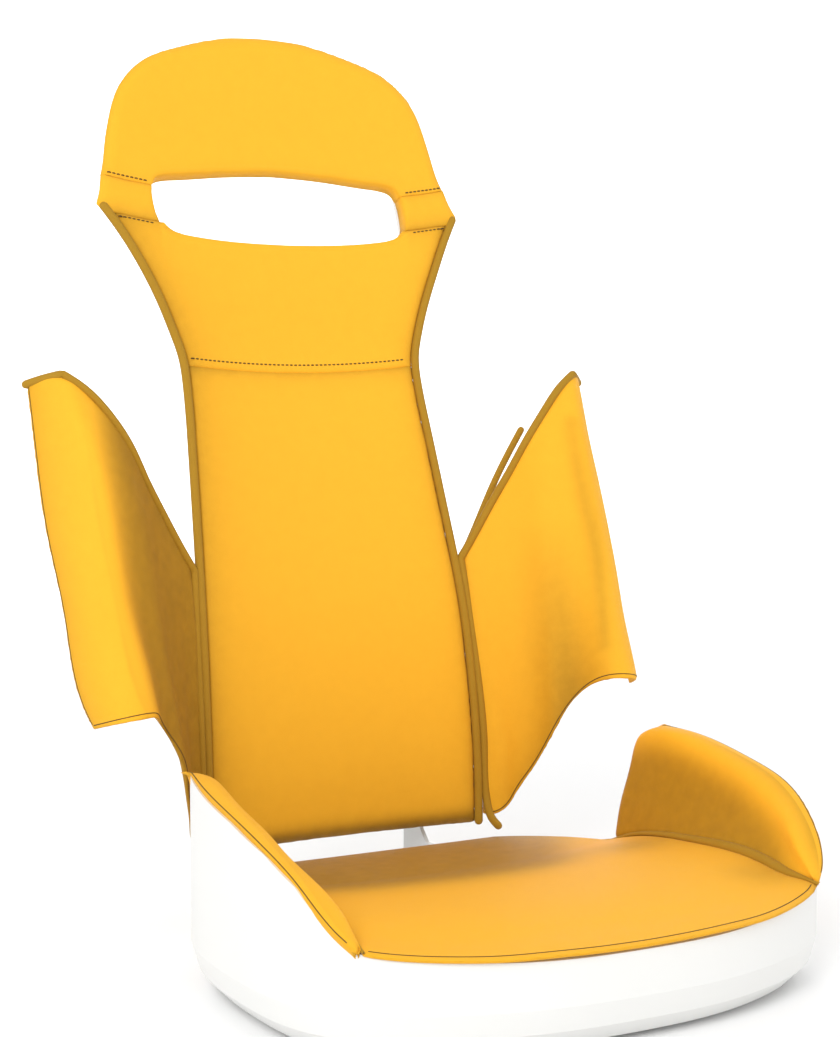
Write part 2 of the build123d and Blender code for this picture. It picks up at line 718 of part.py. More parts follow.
rim_plan = seat_plan(0, 0)
over_rim = rim_cut()
bolster_side = bolster_reach()
pad_leather = pad_layer(0, -LEATHER)
welt_layer = pad_layer(WELT_HIGH, 0)
cushion_side = pad_block(0, LEATHER)
bolster_body = bolster_loft(LEATHER, None)
bolster_skin = bolster_loft(0, LEATHER)
block_high = BOLSTER_TOP + LEATHER

seat_block = tub(0, 0, PAN_ROUND, block_high)
seat_cavity = tub(PAN_WALL, PAN_FLOOR, PAN_ROUND - PAN_WALL, block_high)

STANDING = (Align.CENTER, Align.CENTER, Align.MIN)

with BuildPart() as mounting_inserts:
    with mount_places():
        Cylinder(INSERT_R, INSERT_HIGH, align=STANDING)
    with mount_places():
        Cylinder(INSERT_BORE_R, INSERT_HIGH, align=STANDING, mode=Mode.SUBTRACT)

with BuildPart() as insert_space:
    with mount_places():
        Cylinder(INSERT_R, INSERT_HIGH, align=STANDING)
    with mount_places():
        Cylinder(INSERT_BORE_R, INSERT_POCKET, align=STANDING)

with BuildPart() as seat_cover:
    extrude(pad_leather, amount=CREASE_HALF, both=True)
    extrude(rim_plan, amount=block_high, mode=Mode.INTERSECT)

with BuildPart() as right_bolster_cover:
    add(bolster_skin)
    extrude(rim_plan, amount=block_high, mode=Mode.INTERSECT)
    extrude(bolster_side, amount=SEAT_HALF + WELT, mode=Mode.INTERSECT)

with BuildPart() as left_bolster_cover:
    mirror(right_bolster_cover.part, about=Plane.YZ)

with BuildPart() as right_bolster_foam:
    add(bolster_body)
    add(seat_cavity, mode=Mode.INTERSECT)
    extrude(bolster_side, amount=SEAT_HALF + WELT, mode=Mode.INTERSECT)
    add(right_bolster_cover.part, mode=Mode.SUBTRACT)

with BuildPart() as left_bolster_foam:
    mirror(right_bolster_foam.part, about=Plane.YZ)

with BuildPart() as seat_foam:
    extrude(cushion_side, amount=CREASE_HALF, both=True)
    add(seat_cavity, mode=Mode.INTERSECT)
    add(insert_space.part, mode=Mode.SUBTRACT)
    add(seat_nut_blanks, mode=Mode.SUBTRACT)
    add(base_bracket_bolts, mode=Mode.SUBTRACT)

with BuildPart() as seat_pan:
    add(seat_block)
    add(seat_cavity, mode=Mode.SUBTRACT)
    extrude(over_rim, amount=WIDE, both=True, mode=Mode.SUBTRACT)
    add(right_bolster_cover.part, mode=Mode.SUBTRACT)
    add(left_bolster_cover.part, mode=Mode.SUBTRACT)
    add(seat_cover.part, mode=Mode.SUBTRACT)
    add(insert_space.part, mode=Mode.SUBTRACT)
    add(base_bracket_bolts, mode=Mode.SUBTRACT)

welt_start_y = STEP_Y - 2 * PAN_WALL
welt_end_y = BOLSTER_REAR_Y - BOLSTER_ROWS[5][0] * SEAT_LONG

with BuildPart() as right_crease_piping:
    extrude(welt_layer, amount=CREASE_HALF)
    with BuildSketch():
        with Locations((CREASE_HALF - WELT / 2, (welt_start_y + welt_end_y) / 2)):
            Rectangle(WELT, welt_start_y - welt_end_y)
    extrude(amount=block_high, mode=Mode.INTERSECT)

with BuildPart() as left_crease_piping:
    mirror(right_crease_piping.part, about=Plane.YZ)

# =====================================================================================
# The recline hinge: a folded steel bracket on the pan's rear wall and one on the back's
# shell at each side, turning on a shouldered pin with a friction washer between them
# =====================================================================================

back_cheek_x = CHEEK_X + PLATE + WASHER
hinge_end_x = back_cheek_x + PLATE
arm_rise_y = PIVOT_Y - EYE_R
eye_rear_y = PIVOT_Y + EYE_R
behind_shell = back_layer(0, SHELL_BACK)
back_foot_layer = back_layer(SHELL_BACK, FOOT_BACK)


def pin_bore(radius):
    """A round cutter along the hinge's axis."""
    with BuildSketch(Plane((0, PIVOT_Y, PIVOT_Z), z_dir=(1, 0, 0))) as bore:
        Circle(radius)
    return bore.sketch


with BuildPart() as right_base_bracket:
    with BuildSketch(Plane.YZ.offset(CHEEK_X)):
        with BuildLine():
            Polyline(
                (SEAT_REAR, ARM_LOW), (eye_rear_y - PLATE * 5, ARM_LOW), (eye_rear_y, ARM_LOW + PLATE * 5),
                (eye_rear_y, PIVOT_Z), (arm_rise_y, PIVOT_Z), (arm_rise_y, ARM_HIGH + PLATE * 3),
                (arm_rise_y - PLATE * 3, ARM_HIGH), (SEAT_REAR, ARM_HIGH), close=True,
            )
        make_face()
        with Locations((PIVOT_Y, PIVOT_Z)):
            Circle(EYE_R)
    extrude(amount=PLATE)
    with BuildSketch(Plane.YZ.offset(CHEEK_X + PLATE - FOOT_WIDE)):
        with Locations((SEAT_REAR + PLATE / 2, (ARM_LOW + ARM_HIGH) / 2)):
            Rectangle(PLATE, ARM_HIGH - ARM_LOW)
    extrude(amount=FOOT_WIDE)
    extrude(pin_bore(PIN_R + PIN_FIT), amount=WIDE / 2, mode=Mode.SUBTRACT)
    add(base_bracket_bolts, mode=Mode.SUBTRACT)

with BuildPart() as back_bracket_cheek:
    with BuildSketch(Plane.YZ.offset(back_cheek_x)):
        with BuildLine():
            Polyline(
                (HIP_Y + SHELL_FRONT, BACK_FOOT_LOW), (arm_rise_y, PIVOT_Z), (eye_rear_y, PIVOT_Z),
                (face_y(BACK_FOOT_HIGH, FOOT_BACK) + PLATE, BACK_FOOT_HIGH),
                (HIP_Y + SHELL_FRONT, BACK_FOOT_HIGH), close=True,
            )
        make_face()
        with Locations((PIVOT_Y, PIVOT_Z)):
            Circle(EYE_R)
    extrude(amount=PLATE)
    extrude(behind_shell, amount=WIDE, mode=Mode.SUBTRACT)

with BuildPart() as back_bracket_foot:
    extrude(back_foot_layer, amount=WIDE / 2)
    with BuildSketch(Plane.XZ):
        with Locations((back_cheek_x + BACK_FOOT_WIDE / 2, (BACK_FOOT_LOW + BACK_FOOT_HIGH) / 2)):
            Rectangle(BACK_FOOT_WIDE, BACK_FOOT_HIGH - BACK_FOOT_LOW)
    extrude(amount=WIDE, both=True, mode=Mode.INTERSECT)

with BuildPart() as right_back_bracket:
    add(back_bracket_cheek.part)
    add(back_bracket_foot.part)
    extrude(pin_bore(PIN_R + PIN_FIT), amount=WIDE / 2, mode=Mode.SUBTRACT)
    add(back_bracket_bolts, mode=Mode.SUBTRACT)

with BuildPart() as right_pin:
    extrude(pin_bore(PIN_R), amount=hinge_end_x + NUT_HIGH + 2)
    split(bisect_by=Plane.YZ.offset(CHEEK_X), keep=Keep.TOP)
    with BuildSketch(Plane((CHEEK_X, PIVOT_Y, PIVOT_Z), z_dir=(-1, 0, 0))):
        Circle(PIN_HEAD_R)
    extrude(amount=PIN_HEAD)

with BuildPart() as right_washer:
    with BuildSketch(Plane((CHEEK_X + PLATE, PIVOT_Y, PIVOT_Z), z_dir=(1, 0, 0))):
        Circle(WASHER_R)
        Circle(PIN_R + PIN_FIT, mode=Mode.SUBTRACT)
    extrude(amount=WASHER - PIN_FIT)

with BuildPart() as right_nut:
    with BuildSketch(Plane((hinge_end_x + PIN_FIT, PIVOT_Y, PIVOT_Z), z_dir=(1, 0, 0))):
        RegularPolygon(NUT_R, 6)
        Circle(PIN_R + PIN_FIT, mode=Mode.SUBTRACT)
    extrude(amount=NUT_HIGH)


def pair(part):
    """A piece and its mirror image on the other side of the seat."""
    with BuildPart() as both:
        add(part)
        mirror(part, about=Plane.YZ)
    return both.part


def other_side(part):
    """The mirror image of a piece."""
    with BuildPart() as left:
        mirror(part, about=Plane.YZ)
    return left.part


pieces = {
    "seat_pan": seat_pan.solids().sort_by(SortBy.VOLUME)[-1],   # less the offcuts over its rim
    "seat_foam": seat_foam.part,
    "seat_cover": seat_cover.part,
    "right_bolster_foam": right_bolster_foam.part,
    "left_bolster_foam": left_bolster_foam.part,
    "right_bolster_cover": right_bolster_cover.part,
    "left_bolster_cover": left_bolster_cover.part,
    "right_crease_piping": right_crease_piping.part,
    "left_crease_piping": left_crease_piping.part,
    "mounting_inserts": mounting_inserts.part,
    "right_base_bracket": right_base_bracket.part,
    "left_base_bracket": other_side(right_base_bracket.part),
    "base_bracket_bolts": base_bracket_bolts,
    "seat_tee_nuts": seat_tee_nuts.part,
    "hinge_pins": pair(right_pin.part),
    "hinge_washers": pair(right_washer.part),
    "hinge_nuts": pair(right_nut.part),
    "back_shell": back_shell.part,
    "back_foam": back_foam.part,
    "head_cover": head_cover.part,
    "right_slot_cover": right_slot_cover.part,
    "left_slot_cover": left_slot_cover.part,
    "shoulder_cover": shoulder_cover.part,
    "lower_back_cover": lower_back_cover.part,
    "right_back_piping": right_back_piping.part,
    "left_back_piping": left_back_piping.part,
    "right_back_bracket": right_back_bracket.part,
    "left_back_bracket": other_side(right_back_bracket.part),
    "back_bracket_bolts": back_bracket_bolts,
    "back_tee_nuts": back_tee_nuts.part,
    "right_wing_shell": right_wing_shell.part,
    "left_wing_shell": other_side(right_wing_shell.part),
    "right_wing_foam": right_wing_foam.part,
    "left_wing_foam": other_side(right_wing_foam.part),
    "right_wing_cover": right_wing_cover.part,
    "left_wing_cover": other_side(right_wing_cover.part),
    "right_wing_piping": right_wing_piping.part,
    "left_wing_piping": other_side(right_wing_piping.part),
    "wing_bolts": wing_bolts,
}

for name, piece in pieces.items():
    piece.label = name
    export_step(piece, f"parts/{name}.step")
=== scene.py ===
from math import cos, pi, radians, sin, sqrt

import bpy
import numpy as np
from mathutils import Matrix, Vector


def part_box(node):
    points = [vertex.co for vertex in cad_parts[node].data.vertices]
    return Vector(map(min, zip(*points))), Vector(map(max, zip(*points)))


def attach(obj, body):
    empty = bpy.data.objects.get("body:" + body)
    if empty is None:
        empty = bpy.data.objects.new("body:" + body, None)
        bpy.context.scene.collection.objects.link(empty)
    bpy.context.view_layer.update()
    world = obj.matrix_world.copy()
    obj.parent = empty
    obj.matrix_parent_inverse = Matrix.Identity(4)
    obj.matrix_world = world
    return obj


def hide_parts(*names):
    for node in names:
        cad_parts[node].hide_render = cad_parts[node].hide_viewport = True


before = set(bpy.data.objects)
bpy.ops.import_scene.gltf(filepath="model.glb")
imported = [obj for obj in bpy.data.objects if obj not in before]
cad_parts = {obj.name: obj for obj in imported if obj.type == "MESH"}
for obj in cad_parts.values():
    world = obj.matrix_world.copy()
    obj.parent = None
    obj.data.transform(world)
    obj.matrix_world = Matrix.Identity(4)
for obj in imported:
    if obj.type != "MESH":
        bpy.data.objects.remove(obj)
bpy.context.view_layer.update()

# ---------------------------------------------------------------------------------------
# The studio: a pale floor that sweeps up behind the seat, a large soft key from the left
# of the camera, a weak fill from the right and a bright even surround.
# ---------------------------------------------------------------------------------------
LENS = 72.9
STAND = Vector((-0.9196, -1.5675, 0.5131))
HEADING = 29.248
DIP = 3.937

camera_data = bpy.data.cameras.new("camera")
camera_data.lens = LENS
camera_data.sensor_width = 36.0
camera_data.clip_end = 60.0
camera = bpy.data.objects.new("camera", camera_data)
camera.location = STAND
camera.rotation_euler = (radians(90.0 - DIP), 0.0, -radians(HEADING))
bpy.context.collection.objects.link(camera)
bpy.context.scene.camera = camera


class Socket:
    """One output of a shader node, so that a shader reads as arithmetic."""

    def __init__(self, tree, socket):
        self.tree = tree
        self.socket = socket

    def maths(self, operation, *values, clamp=False):
        node = self.tree.nodes.new("ShaderNodeMath")
        node.operation = operation
        node.use_clamp = clamp
        for slot, value in zip(node.inputs, values):
            if isinstance(value, Socket):
                self.tree.links.new(value.socket, slot)
            else:
                slot.default_value = value
        return Socket(self.tree, node.outputs[0])

    def __add__(self, other):
        return self.maths("ADD", self, other)

    def __radd__(self, other):
        return self.maths("ADD", other, self)

    def __sub__(self, other):
        return self.maths("SUBTRACT", self, other)

    def __rsub__(self, other):
        return self.maths("SUBTRACT", other, self)

    def __mul__(self, other):
        return self.maths("MULTIPLY", self, other)

    def __rmul__(self, other):
        return self.maths("MULTIPLY", other, self)

    def __truediv__(self, other):
        return self.maths("DIVIDE", self, other)

    def held(self):
        """The value kept between 0 and 1."""
        return self.maths("ADD", self, 0.0, clamp=True)


class Finish:
    """A material under construction."""

    def __init__(self, name):
        self.material = bpy.data.materials.new(name)
        self.material.use_nodes = True
        self.tree = self.material.node_tree
        self.shader = self.tree.nodes["Principled BSDF"]

    def node(self, kind, settings=None, out=0, **inputs):
        """Any node: its settings first, then the values or links of its sockets."""
        made = self.tree.nodes.new("ShaderNode" + kind)
        for key, value in (settings or {}).items():
            if key == "stops":
                ramp = made.color_ramp
                while len(ramp.elements) > 1:
                    ramp.elements.remove(ramp.elements[-1])
                for i, (place, colour) in enumerate(value):
                    stop = ramp.elements[0] if i == 0 else ramp.elements.new(place)
                    stop.position = place
                    stop.color = colour
            else:
                setattr(made, key, value)
        for key, value in inputs.items():
            slot = made.inputs[int(key[1:])] if key[0] == "i" and key[1:].isdigit() else made.inputs[key]
            if isinstance(value, Socket):
                self.tree.links.new(value.socket, slot)
            else:
                slot.default_value = value
        return Socket(self.tree, made.outputs[out])

    def place(self, scale=1.0):
        """Position on the object, in metres, times a scale."""
        at = self.node("TexCoord", out=3)
        return self.node("Mapping", {}, i0=at, i3=(scale, scale, scale))

    def noise(self, size, detail=3.0, roughness=0.5):
        """Soft noise whose lumps are about that many metres across."""
        return self.node("TexNoise", {}, Vector=self.place(1.0 / size), Detail=detail, Roughness=roughness)

    def cells(self, size, feature="F1", out=0):
        """Cells of that size in metres."""
        return self.node("TexVoronoi", {"feature": feature}, out=out, Vector=self.place(1.0 / size))

    def mix(self, factor, first, second):
        """A blend of two colours."""
        return self.node("Mix", {"data_type": "RGBA"}, out=2, i0=factor, i6=first, i7=second)

    def bump(self, height, depth, strength=1.0, under=None):
        """A normal pushed about by a height of that depth in metres."""
        inputs = {"Strength": strength, "Distance": depth, "Height": height}
        if under is not None:
            inputs["Normal"] = under
        return self.node("Bump", {}, **inputs)

    def set(self, **inputs):
        """Values or links of the shader's own sockets; a double underscore stands for a space."""
        for key, value in inputs.items():
            slot = self.shader.inputs[key.replace("_", " ")]
            if isinstance(value, Socket):
                self.tree.links.new(value.socket, slot)
            else:
                slot.default_value = value
        return self.material


paper = Finish("studio_paper")
paper.set(Base_Color=(0.93, 0.93, 0.93, 1.0), Roughness=0.9)

SWEEP = [(-9.0, 0.0), (-3.0, 0.0), (3.0, 0.0), (5.0, 0.0)]
SWEEP += [(5.0 + 2.5 * sin(radians(a)), 2.5 - 2.5 * cos(radians(a))) for a in range(10, 91, 10)]
SWEEP += [(7.5, 6.0)]
sweep_mesh = bpy.data.meshes.new("studio_floor")
sweep_mesh.from_pydata(
    [(x, y, z) for y, z in SWEEP for x in (-12.0, 12.0)],
    [],
    [(2 * i, 2 * i + 1, 2 * i + 3, 2 * i + 2) for i in range(len(SWEEP) - 1)],
)
studio_floor = bpy.data.objects.new("studio_floor", sweep_mesh)
sweep_mesh.materials.append(paper.material)
sweep_mesh.polygons.foreach_set("use_smooth", [True] * len(sweep_mesh.polygons))
studio_floor.location = (0.0, 0.0, -0.0005)
studio_floor.rotation_euler = (0.0, 0.0, -radians(HEADING))
bpy.context.collection.objects.link(studio_floor)

world = bpy.data.worlds.new("surround")
world.use_nodes = True
world.node_tree.nodes["Background"].inputs[0].default_value = (1.0, 1.0, 1.0, 1.0)
world.node_tree.nodes["Background"].inputs[1].default_value = 0.85
bpy.context.scene.world = world
bpy.context.scene.view_settings.view_transform = "Standard"


def soft_box(name, place, aim, size, power):
    """A square area light that looks at a point."""
    data = bpy.data.lights.new(name, "AREA")
    data.size = size
    data.energy = power
    lamp = bpy.data.objects.new(name, data)
    lamp.location = place
    lamp.rotation_euler = (Vector(aim) - Vector(place)).to_track_quat("-Z", "Y").to_euler()
    bpy.context.collection.objects.link(lamp)


soft_box("key", (-2.6, -2.2, 2.3), (0.0, 0.1, 0.4), 1.6, 75.0)
soft_box("fill", (2.4, -2.6, 1.4), (0.0, 0.1, 0.4), 2.2, 14.0)
soft_box("back_light", (0.6, 3.0, 2.6), (0.0, 0.2, 0.5), 2.0, 13.0)
soft_box("backdrop_light", (2.0, 4.2, 4.6), (3.6, 7.6, 1.6), 3.0, 260.0)

# ---------------------------------------------------------------------------------------
# The lower back panel: yellow leather over foam, sewn into the piping at both sides and
# to the shoulder panel at a double-turned cross seam, and rolled under at its lower edge.
# ---------------------------------------------------------------------------------------


def cubic(xs, ys):
    """A natural cubic line through points, as a function."""
    xs = np.asarray(xs, float)
    ys = np.asarray(ys, float)
    count = len(xs)
    gap = np.diff(xs)
    matrix = np.eye(count)
    right = np.zeros(count)
    for i in range(1, count - 1):
        matrix[i, i - 1:i + 2] = gap[i - 1], 2 * (gap[i - 1] + gap[i]), gap[i]
        right[i] = 6 * ((ys[i + 1] - ys[i]) / gap[i] - (ys[i] - ys[i - 1]) / gap[i - 1])
    bend = np.linalg.solve(matrix, right)

    def value(x):
        x = np.asarray(x, float)
        i = np.clip(np.searchsorted(xs, x) - 1, 0, count - 2)
        a, b = xs[i + 1] - x, x - xs[i]
        h = gap[i]
        return (
            bend[i] * a**3 / (6 * h) + bend[i + 1] * b**3 / (6 * h)
            + (ys[i] / h - bend[i] * h / 6) * a + (ys[i + 1] / h - bend[i + 1] * h / 6) * b
        )

    return value


def drawn(points, count):
    """Evenly spaced points on a smooth line through a few points of any dimension."""
    points = np.asarray(points, float)
    along = np.concatenate([[0], np.cumsum(np.linalg.norm(np.diff(points, axis=0), axis=1))])
    lines = [cubic(along, points[:, k]) for k in range(points.shape[1])]
    fine = np.linspace(0, along[-1], 12 * count)
    return even(np.stack([line(fine) for line in lines], axis=1), count)


def even(points, count, at=None):
    """A polyline resampled evenly, or at given shares of its length."""
    points = np.asarray(points, float)
    along = np.concatenate([[0], np.cumsum(np.linalg.norm(np.diff(points, axis=0), axis=1))])
    want = (np.linspace(0, 1, count) if at is None else np.asarray(at)) * along[-1]
    return np.stack([np.interp(want, along, points[:, k]) for k in range(points.shape[1])], axis=1)


def crowded(count):
    """Shares from 0 to 1 that crowd towards both ends, where a panel rolls over."""
    t = np.linspace(0, 1, count)
    return 0.35 * t + 0.65 * (0.5 - 0.5 * np.cos(pi * t))


def patch(low, high, left, right, across, up):
    """A grid of points between four edges; left and right run from low to high."""
    u = crowded(across)
    v = crowded(up)
    low, high = even(low, 0, u), even(high, 0, u)
    left, right = even(left, 0, v), even(right, 0, v)
    u = u[None, :, None]
    v = v[:, None, None]
    sides = (1 - u) * left[:, None] + u * right[:, None]
    ends = (1 - v) * low[None] + v * high[None]
    corners = (1 - u) * (1 - v) * low[0] + u * (1 - v) * low[-1] + (1 - u) * v * high[0] + u * v * high[-1]
    return sides + ends - corners


def reach(grid, edge):
    """Each grid point's distance from a line of points."""
    edge = even(edge, 260)
    flat = grid.reshape(-1, grid.shape[-1])
    best = np.full(len(flat), 1e9)
    for start in range(0, len(edge), 65):
        part = edge[start:start + 65]
        best = np.minimum(best, np.linalg.norm(flat[:, None] - part[None], axis=2).min(axis=1))
    return best.reshape(grid.shape[:-1])


def rolled(distance, radius, depth):
    """How deep a padded face has turned over at a distance from its edge."""
    t = 1 - np.clip(distance / radius, 0, 1)
    return depth * (1 - np.sqrt(np.clip(1 - t * t, 0, 1)))


def panel(name, front, rear, material, painted_shade, turned=False):
    """A closed padded piece from its front and rear grids, with walls round the edge."""
    rows, columns = front.shape[:2]
    count = rows * columns
    verts = np.concatenate([front.reshape(-1, 3), rear.reshape(-1, 3)])
    at = np.arange(count).reshape(rows, columns)
    quads = np.stack([at[:-1, :-1], at[:-1, 1:], at[1:, 1:], at[1:, :-1]], axis=-1).reshape(-1, 4)
    loop = np.concatenate([at[0, :-1], at[:-1, -1], at[-1, :0:-1], at[:0:-1, 0]])
    after = np.roll(loop, -1)
    walls = np.stack([after, loop, loop + count, after + count], axis=1)
    faces = np.concatenate([quads, quads[:, ::-1] + count, walls])
    if turned:
        faces = faces[:, ::-1]
    mesh = bpy.data.meshes.new(name)
    mesh.from_pydata([tuple(v) for v in verts], [], [tuple(int(i) for i in f) for f in faces])
    mesh.polygons.foreach_set("use_smooth", [True] * len(mesh.polygons))
    # painted shade: each point's value is stored for the leather's colour to read
    layer = mesh.attributes.new("painted_shade", "FLOAT", "POINT")
    values = np.concatenate([painted_shade.ravel(), painted_shade.ravel()])
    layer.data.foreach_set("value", values.astype(np.float32))
    mesh.materials.append(material)
    mesh.validate()
    piece = bpy.data.objects.new(name, mesh)
    bpy.context.collection.objects.link(piece)
    return piece


def settle(piece, body, finish_slot, *nodes, padded=0.0):
    """Hangs a piece on the body it rides on and hides the CAD nodes it stands for; finish_slot is not used.
    """
    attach(piece, body)
    if nodes:
        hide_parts(*nodes)
    return piece


def box_of(node):
    """A CAD node's corners as arrays."""
    low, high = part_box(node)
    return np.array(low), np.array(high)


YELLOW = (0.94, 0.475, 0.026, 1.0)
YELLOW_DEEP = (0.80, 0.36, 0.016, 1.0)
# The brown that painted shade pulls the leather's colour towards.
PAINTED_SHADE_BROWN = (0.20, 0.104, 0.007, 1.0)


def leather(name, body, deep, grain=0.0011):
    """Fine-grained trim leather; the painted_shade attribute marks where painted shade darkens its colour
    towards brown.
    """
    finish = Finish(name)
    painted_shade = finish.node("Attribute", {"attribute_name": "painted_shade"}, out=2)
    cloud = finish.noise(0.055, 4.0, 0.55)
    mottle = finish.noise(0.009, 3.0, 0.6)
    pebble = finish.cells(grain, "DISTANCE_TO_EDGE")
    pores = finish.noise(grain * 0.45, 2.0, 0.6)
    mottle_and_painted_shade = (cloud * 0.8 + mottle * 0.45 - 0.42).held()
    colour = finish.mix(mottle_and_painted_shade * 0.42, body, deep)
    valley = (1.0 - pebble * 9.0).held()
    colour = finish.mix(valley * 0.16, colour, deep)
    # painted shade: the colour is mixed towards brown by the painted_shade attribute
    colour = finish.mix((painted_shade * (0.86 + cloud * 0.28)).held(), colour, PAINTED_SHADE_BROWN)
    height = (pebble * 3.0).held() * 0.75 + pores * 0.25
    wrinkle = finish.noise(0.004, 4.0, 0.65)
    broad = finish.bump(wrinkle, 0.0006, 0.25)
    fine = finish.bump(height, 0.00016, 0.55, broad)
    rough = 0.50 + mottle * 0.16 + valley * 0.10
    return finish.set(
        Base_Color=colour, Roughness=rough, Normal=fine, Specular_IOR_Level=0.14,
        Sheen_Weight=0.05, Sheen_Roughness=0.4,
    )


yellow_leather = leather("yellow_leather", YELLOW, YELLOW_DEEP)

hip_low, _ = box_of("lower_back_cover")
_, head_high = box_of("head_cover")
HIP = hip_low[1]
BASE = hip_low[2]
TOP = head_high[2]
LEAN = 0.176
FACE_SHAPE = (
    (0.0, 0.0), (0.08, 0.01), (0.19, 0.065), (0.28, 0.14), (0.40, 0.295),
    (0.51, 0.45), (0.605, 0.58), (0.70, 0.665), (0.775, 0.775), (0.83, 0.865),
    (0.91, 0.93), (1.0, 1.0),
)
face_y = cubic(
    [BASE + (TOP - BASE) * rise for rise, _ in FACE_SHAPE],
    [HIP + LEAN * lean for _, lean in FACE_SHAPE],
)
FOAM_DEEP = 0.0205
DISH = 0.010                  # the back is this much hollow across its middle

TIP = 0.1995
TIP_Z = 0.678
WAIST = 0.1315
WAIST_Z = 0.505
FOOT = 0.1505
SIDE_LINE = [                 # half width and height, from the lower edge up to the shoulder tip
    (FOOT, BASE), (0.1500, 0.145), (0.1486, 0.210), (0.1455, 0.290), (0.1395, 0.379),
    (0.1345, 0.450), (WAIST, WAIST_Z), (0.1330, 0.532), (0.1385, 0.552), (0.1475, 0.578),
    (0.1660, 0.620), (0.1860, 0.657), (TIP, TIP_Z),
]
side_line = drawn(SIDE_LINE, 400)


def side_between(low, high, sign):
    """The back's side edge between two heights, on one side, as (x, z) points."""
    inner = [(x, z) for x, z in side_line if low < z < high]
    ends = [np.interp(z, side_line[:, 1], side_line[:, 0]) for z in (low, high)]
    line = [(ends[0], low)] + inner + [(ends[1], high)]
    return np.array([(sign * x, z) for x, z in line])


def on_back(grid, depth, dish=DISH):
    """Points (x, z) of the back put on its leaning face, which is a little hollow across."""
    x, z = grid[..., 0], grid[..., 1]
    half = np.interp(z, side_line[:, 1], side_line[:, 0])
    half = np.where(z > TIP_Z, TIP, half)
    hollow = dish * (1 - np.clip(np.abs(x) / half, 0, 1) ** 2)
    slope = (face_y(z + 0.002) - face_y(z - 0.002)) / 0.004
    lean = np.sqrt(1 + slope * slope)
    return np.stack([x, face_y(z) + hollow + depth / lean, z - depth * slope / lean], axis=-1)


def back_panel(name, low, high, left, right, across, up, edges, wraps, painted_shade=None):
    """A padded panel of the back. edges gives each edge's roll (radius, depth); wraps says
    which edges turn round the foam to the shell, in the order low, high, left, right."""
    grid = patch(low, high, left, right, across, up)
    lines = (low, high, left, right)
    gaps = [reach(grid, line) for line in lines]
    depth = np.max([rolled(gap, *edge) for gap, edge in zip(gaps, edges)], axis=0)
    front = on_back(grid, depth)
    tucked = grid.copy()
    for gap, line, wrap in zip(gaps, lines, wraps):
        if wrap:
            mass = grid.reshape(-1, 2).mean(axis=0)
            weight = np.clip(1 - gap / 0.05, 0, 1) ** 1.5
            inward = mass - grid
            inward /= np.maximum(np.linalg.norm(inward, axis=-1, keepdims=True), 1e-6)
            if wrap == "side":
                inward = np.stack([-np.sign(grid[..., 0]), np.zeros(grid.shape[:2])], axis=-1)
            tucked = tucked + inward * (0.013 * weight)[..., None]
    rear = on_back(tucked, np.full(grid.shape[:2], FOAM_DEEP), 0.0)
    # painted shade for each point, from the panel's own shade function
    mottle_and_painted_shade = np.zeros(grid.shape[:2]) if painted_shade is None else painted_shade(grid, gaps)
    return panel(name, front, rear, yellow_leather, mottle_and_painted_shade)


SEAM_Z = 0.522
SEAM_SAG = 0.008
SEAM_ROLL = (0.007, 0.0035)
PIPED_ROLL = (0.012, 0.0060)


def cross_seam(drop=0.0, short=0.0078):
    """The cross seam's line, which sags in the middle and stops short of the edges."""
    half = np.interp(SEAM_Z, side_line[:, 1], side_line[:, 0])
    x = np.linspace(short - half, half - short, 80)
    return np.stack([x, SEAM_Z - drop - SEAM_SAG * (1 - (x / half) ** 2)], axis=1)


def straight(a, b, count=60):
    """Points on a straight line."""
    return np.linspace(a, b, count)


def lower_painted_shade(grid, gaps):
    """Painted shade: darker along the lower edge, under the seam and down both sides."""
    low, high, left, right = gaps
    side = np.minimum(left, right)
    hem = 0.75 * np.exp(-((low / 0.013) ** 2)) + 0.16 * np.exp(-low / 0.06)
    flank = 0.34 * np.exp(-side / 0.009) + 0.18 * np.exp(-left / 0.035)
    return np.clip(hem + flank + 0.35 * np.exp(-high / 0.006), 0, 0.8)


PIPE = 0.0078                 # the panels stop this far short of the edge, at the piping


def inset(line, sign):
    """A side edge moved in to make room for the piping."""
    return line - np.array([sign * PIPE, 0.0])


lower_panel = back_panel(
    "lower_back_panel",
    straight((-FOOT + PIPE, BASE + 0.001), (FOOT - PIPE, BASE + 0.001)),
    cross_seam(-0.0005),
    inset(side_between(BASE + 0.001, SEAM_Z + 0.0005, -1), -1),
    inset(side_between(BASE + 0.001, SEAM_Z + 0.0005, 1), 1),
    46, 90,
    ((0.016, 0.010), SEAM_ROLL, PIPED_ROLL, PIPED_ROLL),
    (None, None, "side", "side"),
    lower_painted_shade,
)
settle(lower_panel, "backrest", "leather_yellow", "lower_back_cover", "back_foam", padded=0.7)

# ---------------------------------------------------------------------------------------
# The shoulder panel: the same leather, from the cross seam up to the lower rim of the belt
# slot, topstitched 8 mm above the seam where the turned edges lie behind it.
# ---------------------------------------------------------------------------------------
SLOT_LOW = [(0.0, 0.6430), (0.060, 0.6447), (0.103, 0.6486), (0.124, 0.6530), (0.133, 0.6580),
            (0.1362, 0.6615)]
SLOT_HIGH = [(0.0, 0.7180), (0.060, 0.7150), (0.105, 0.7108), (0.123, 0.7090), (0.1335, 0.7050),
             (0.1382, 0.6975)]
SLOT_SIDE = [(0.1362, 0.6615), (0.1388, 0.6710), (0.1396, 0.6800), (0.1395, 0.6900), (0.1382, 0.6975)]
LOWER_JOIN = [(0.1362, 0.6615), (0.1440, 0.6622), (0.1600, 0.6645), (0.1750, 0.6672), (0.1905, 0.6690)]
UPPER_JOIN = [(0.1382, 0.6975), (0.1440, 0.6985), (0.1600, 0.7005), (0.1750, 0.7030), (0.1905, 0.7060)]


def both(points):
    """A line given on the right from the middle out, drawn from left to right."""
    right = np.asarray(points, float)
    return np.concatenate([right[:0:-1] * (-1, 1), right])


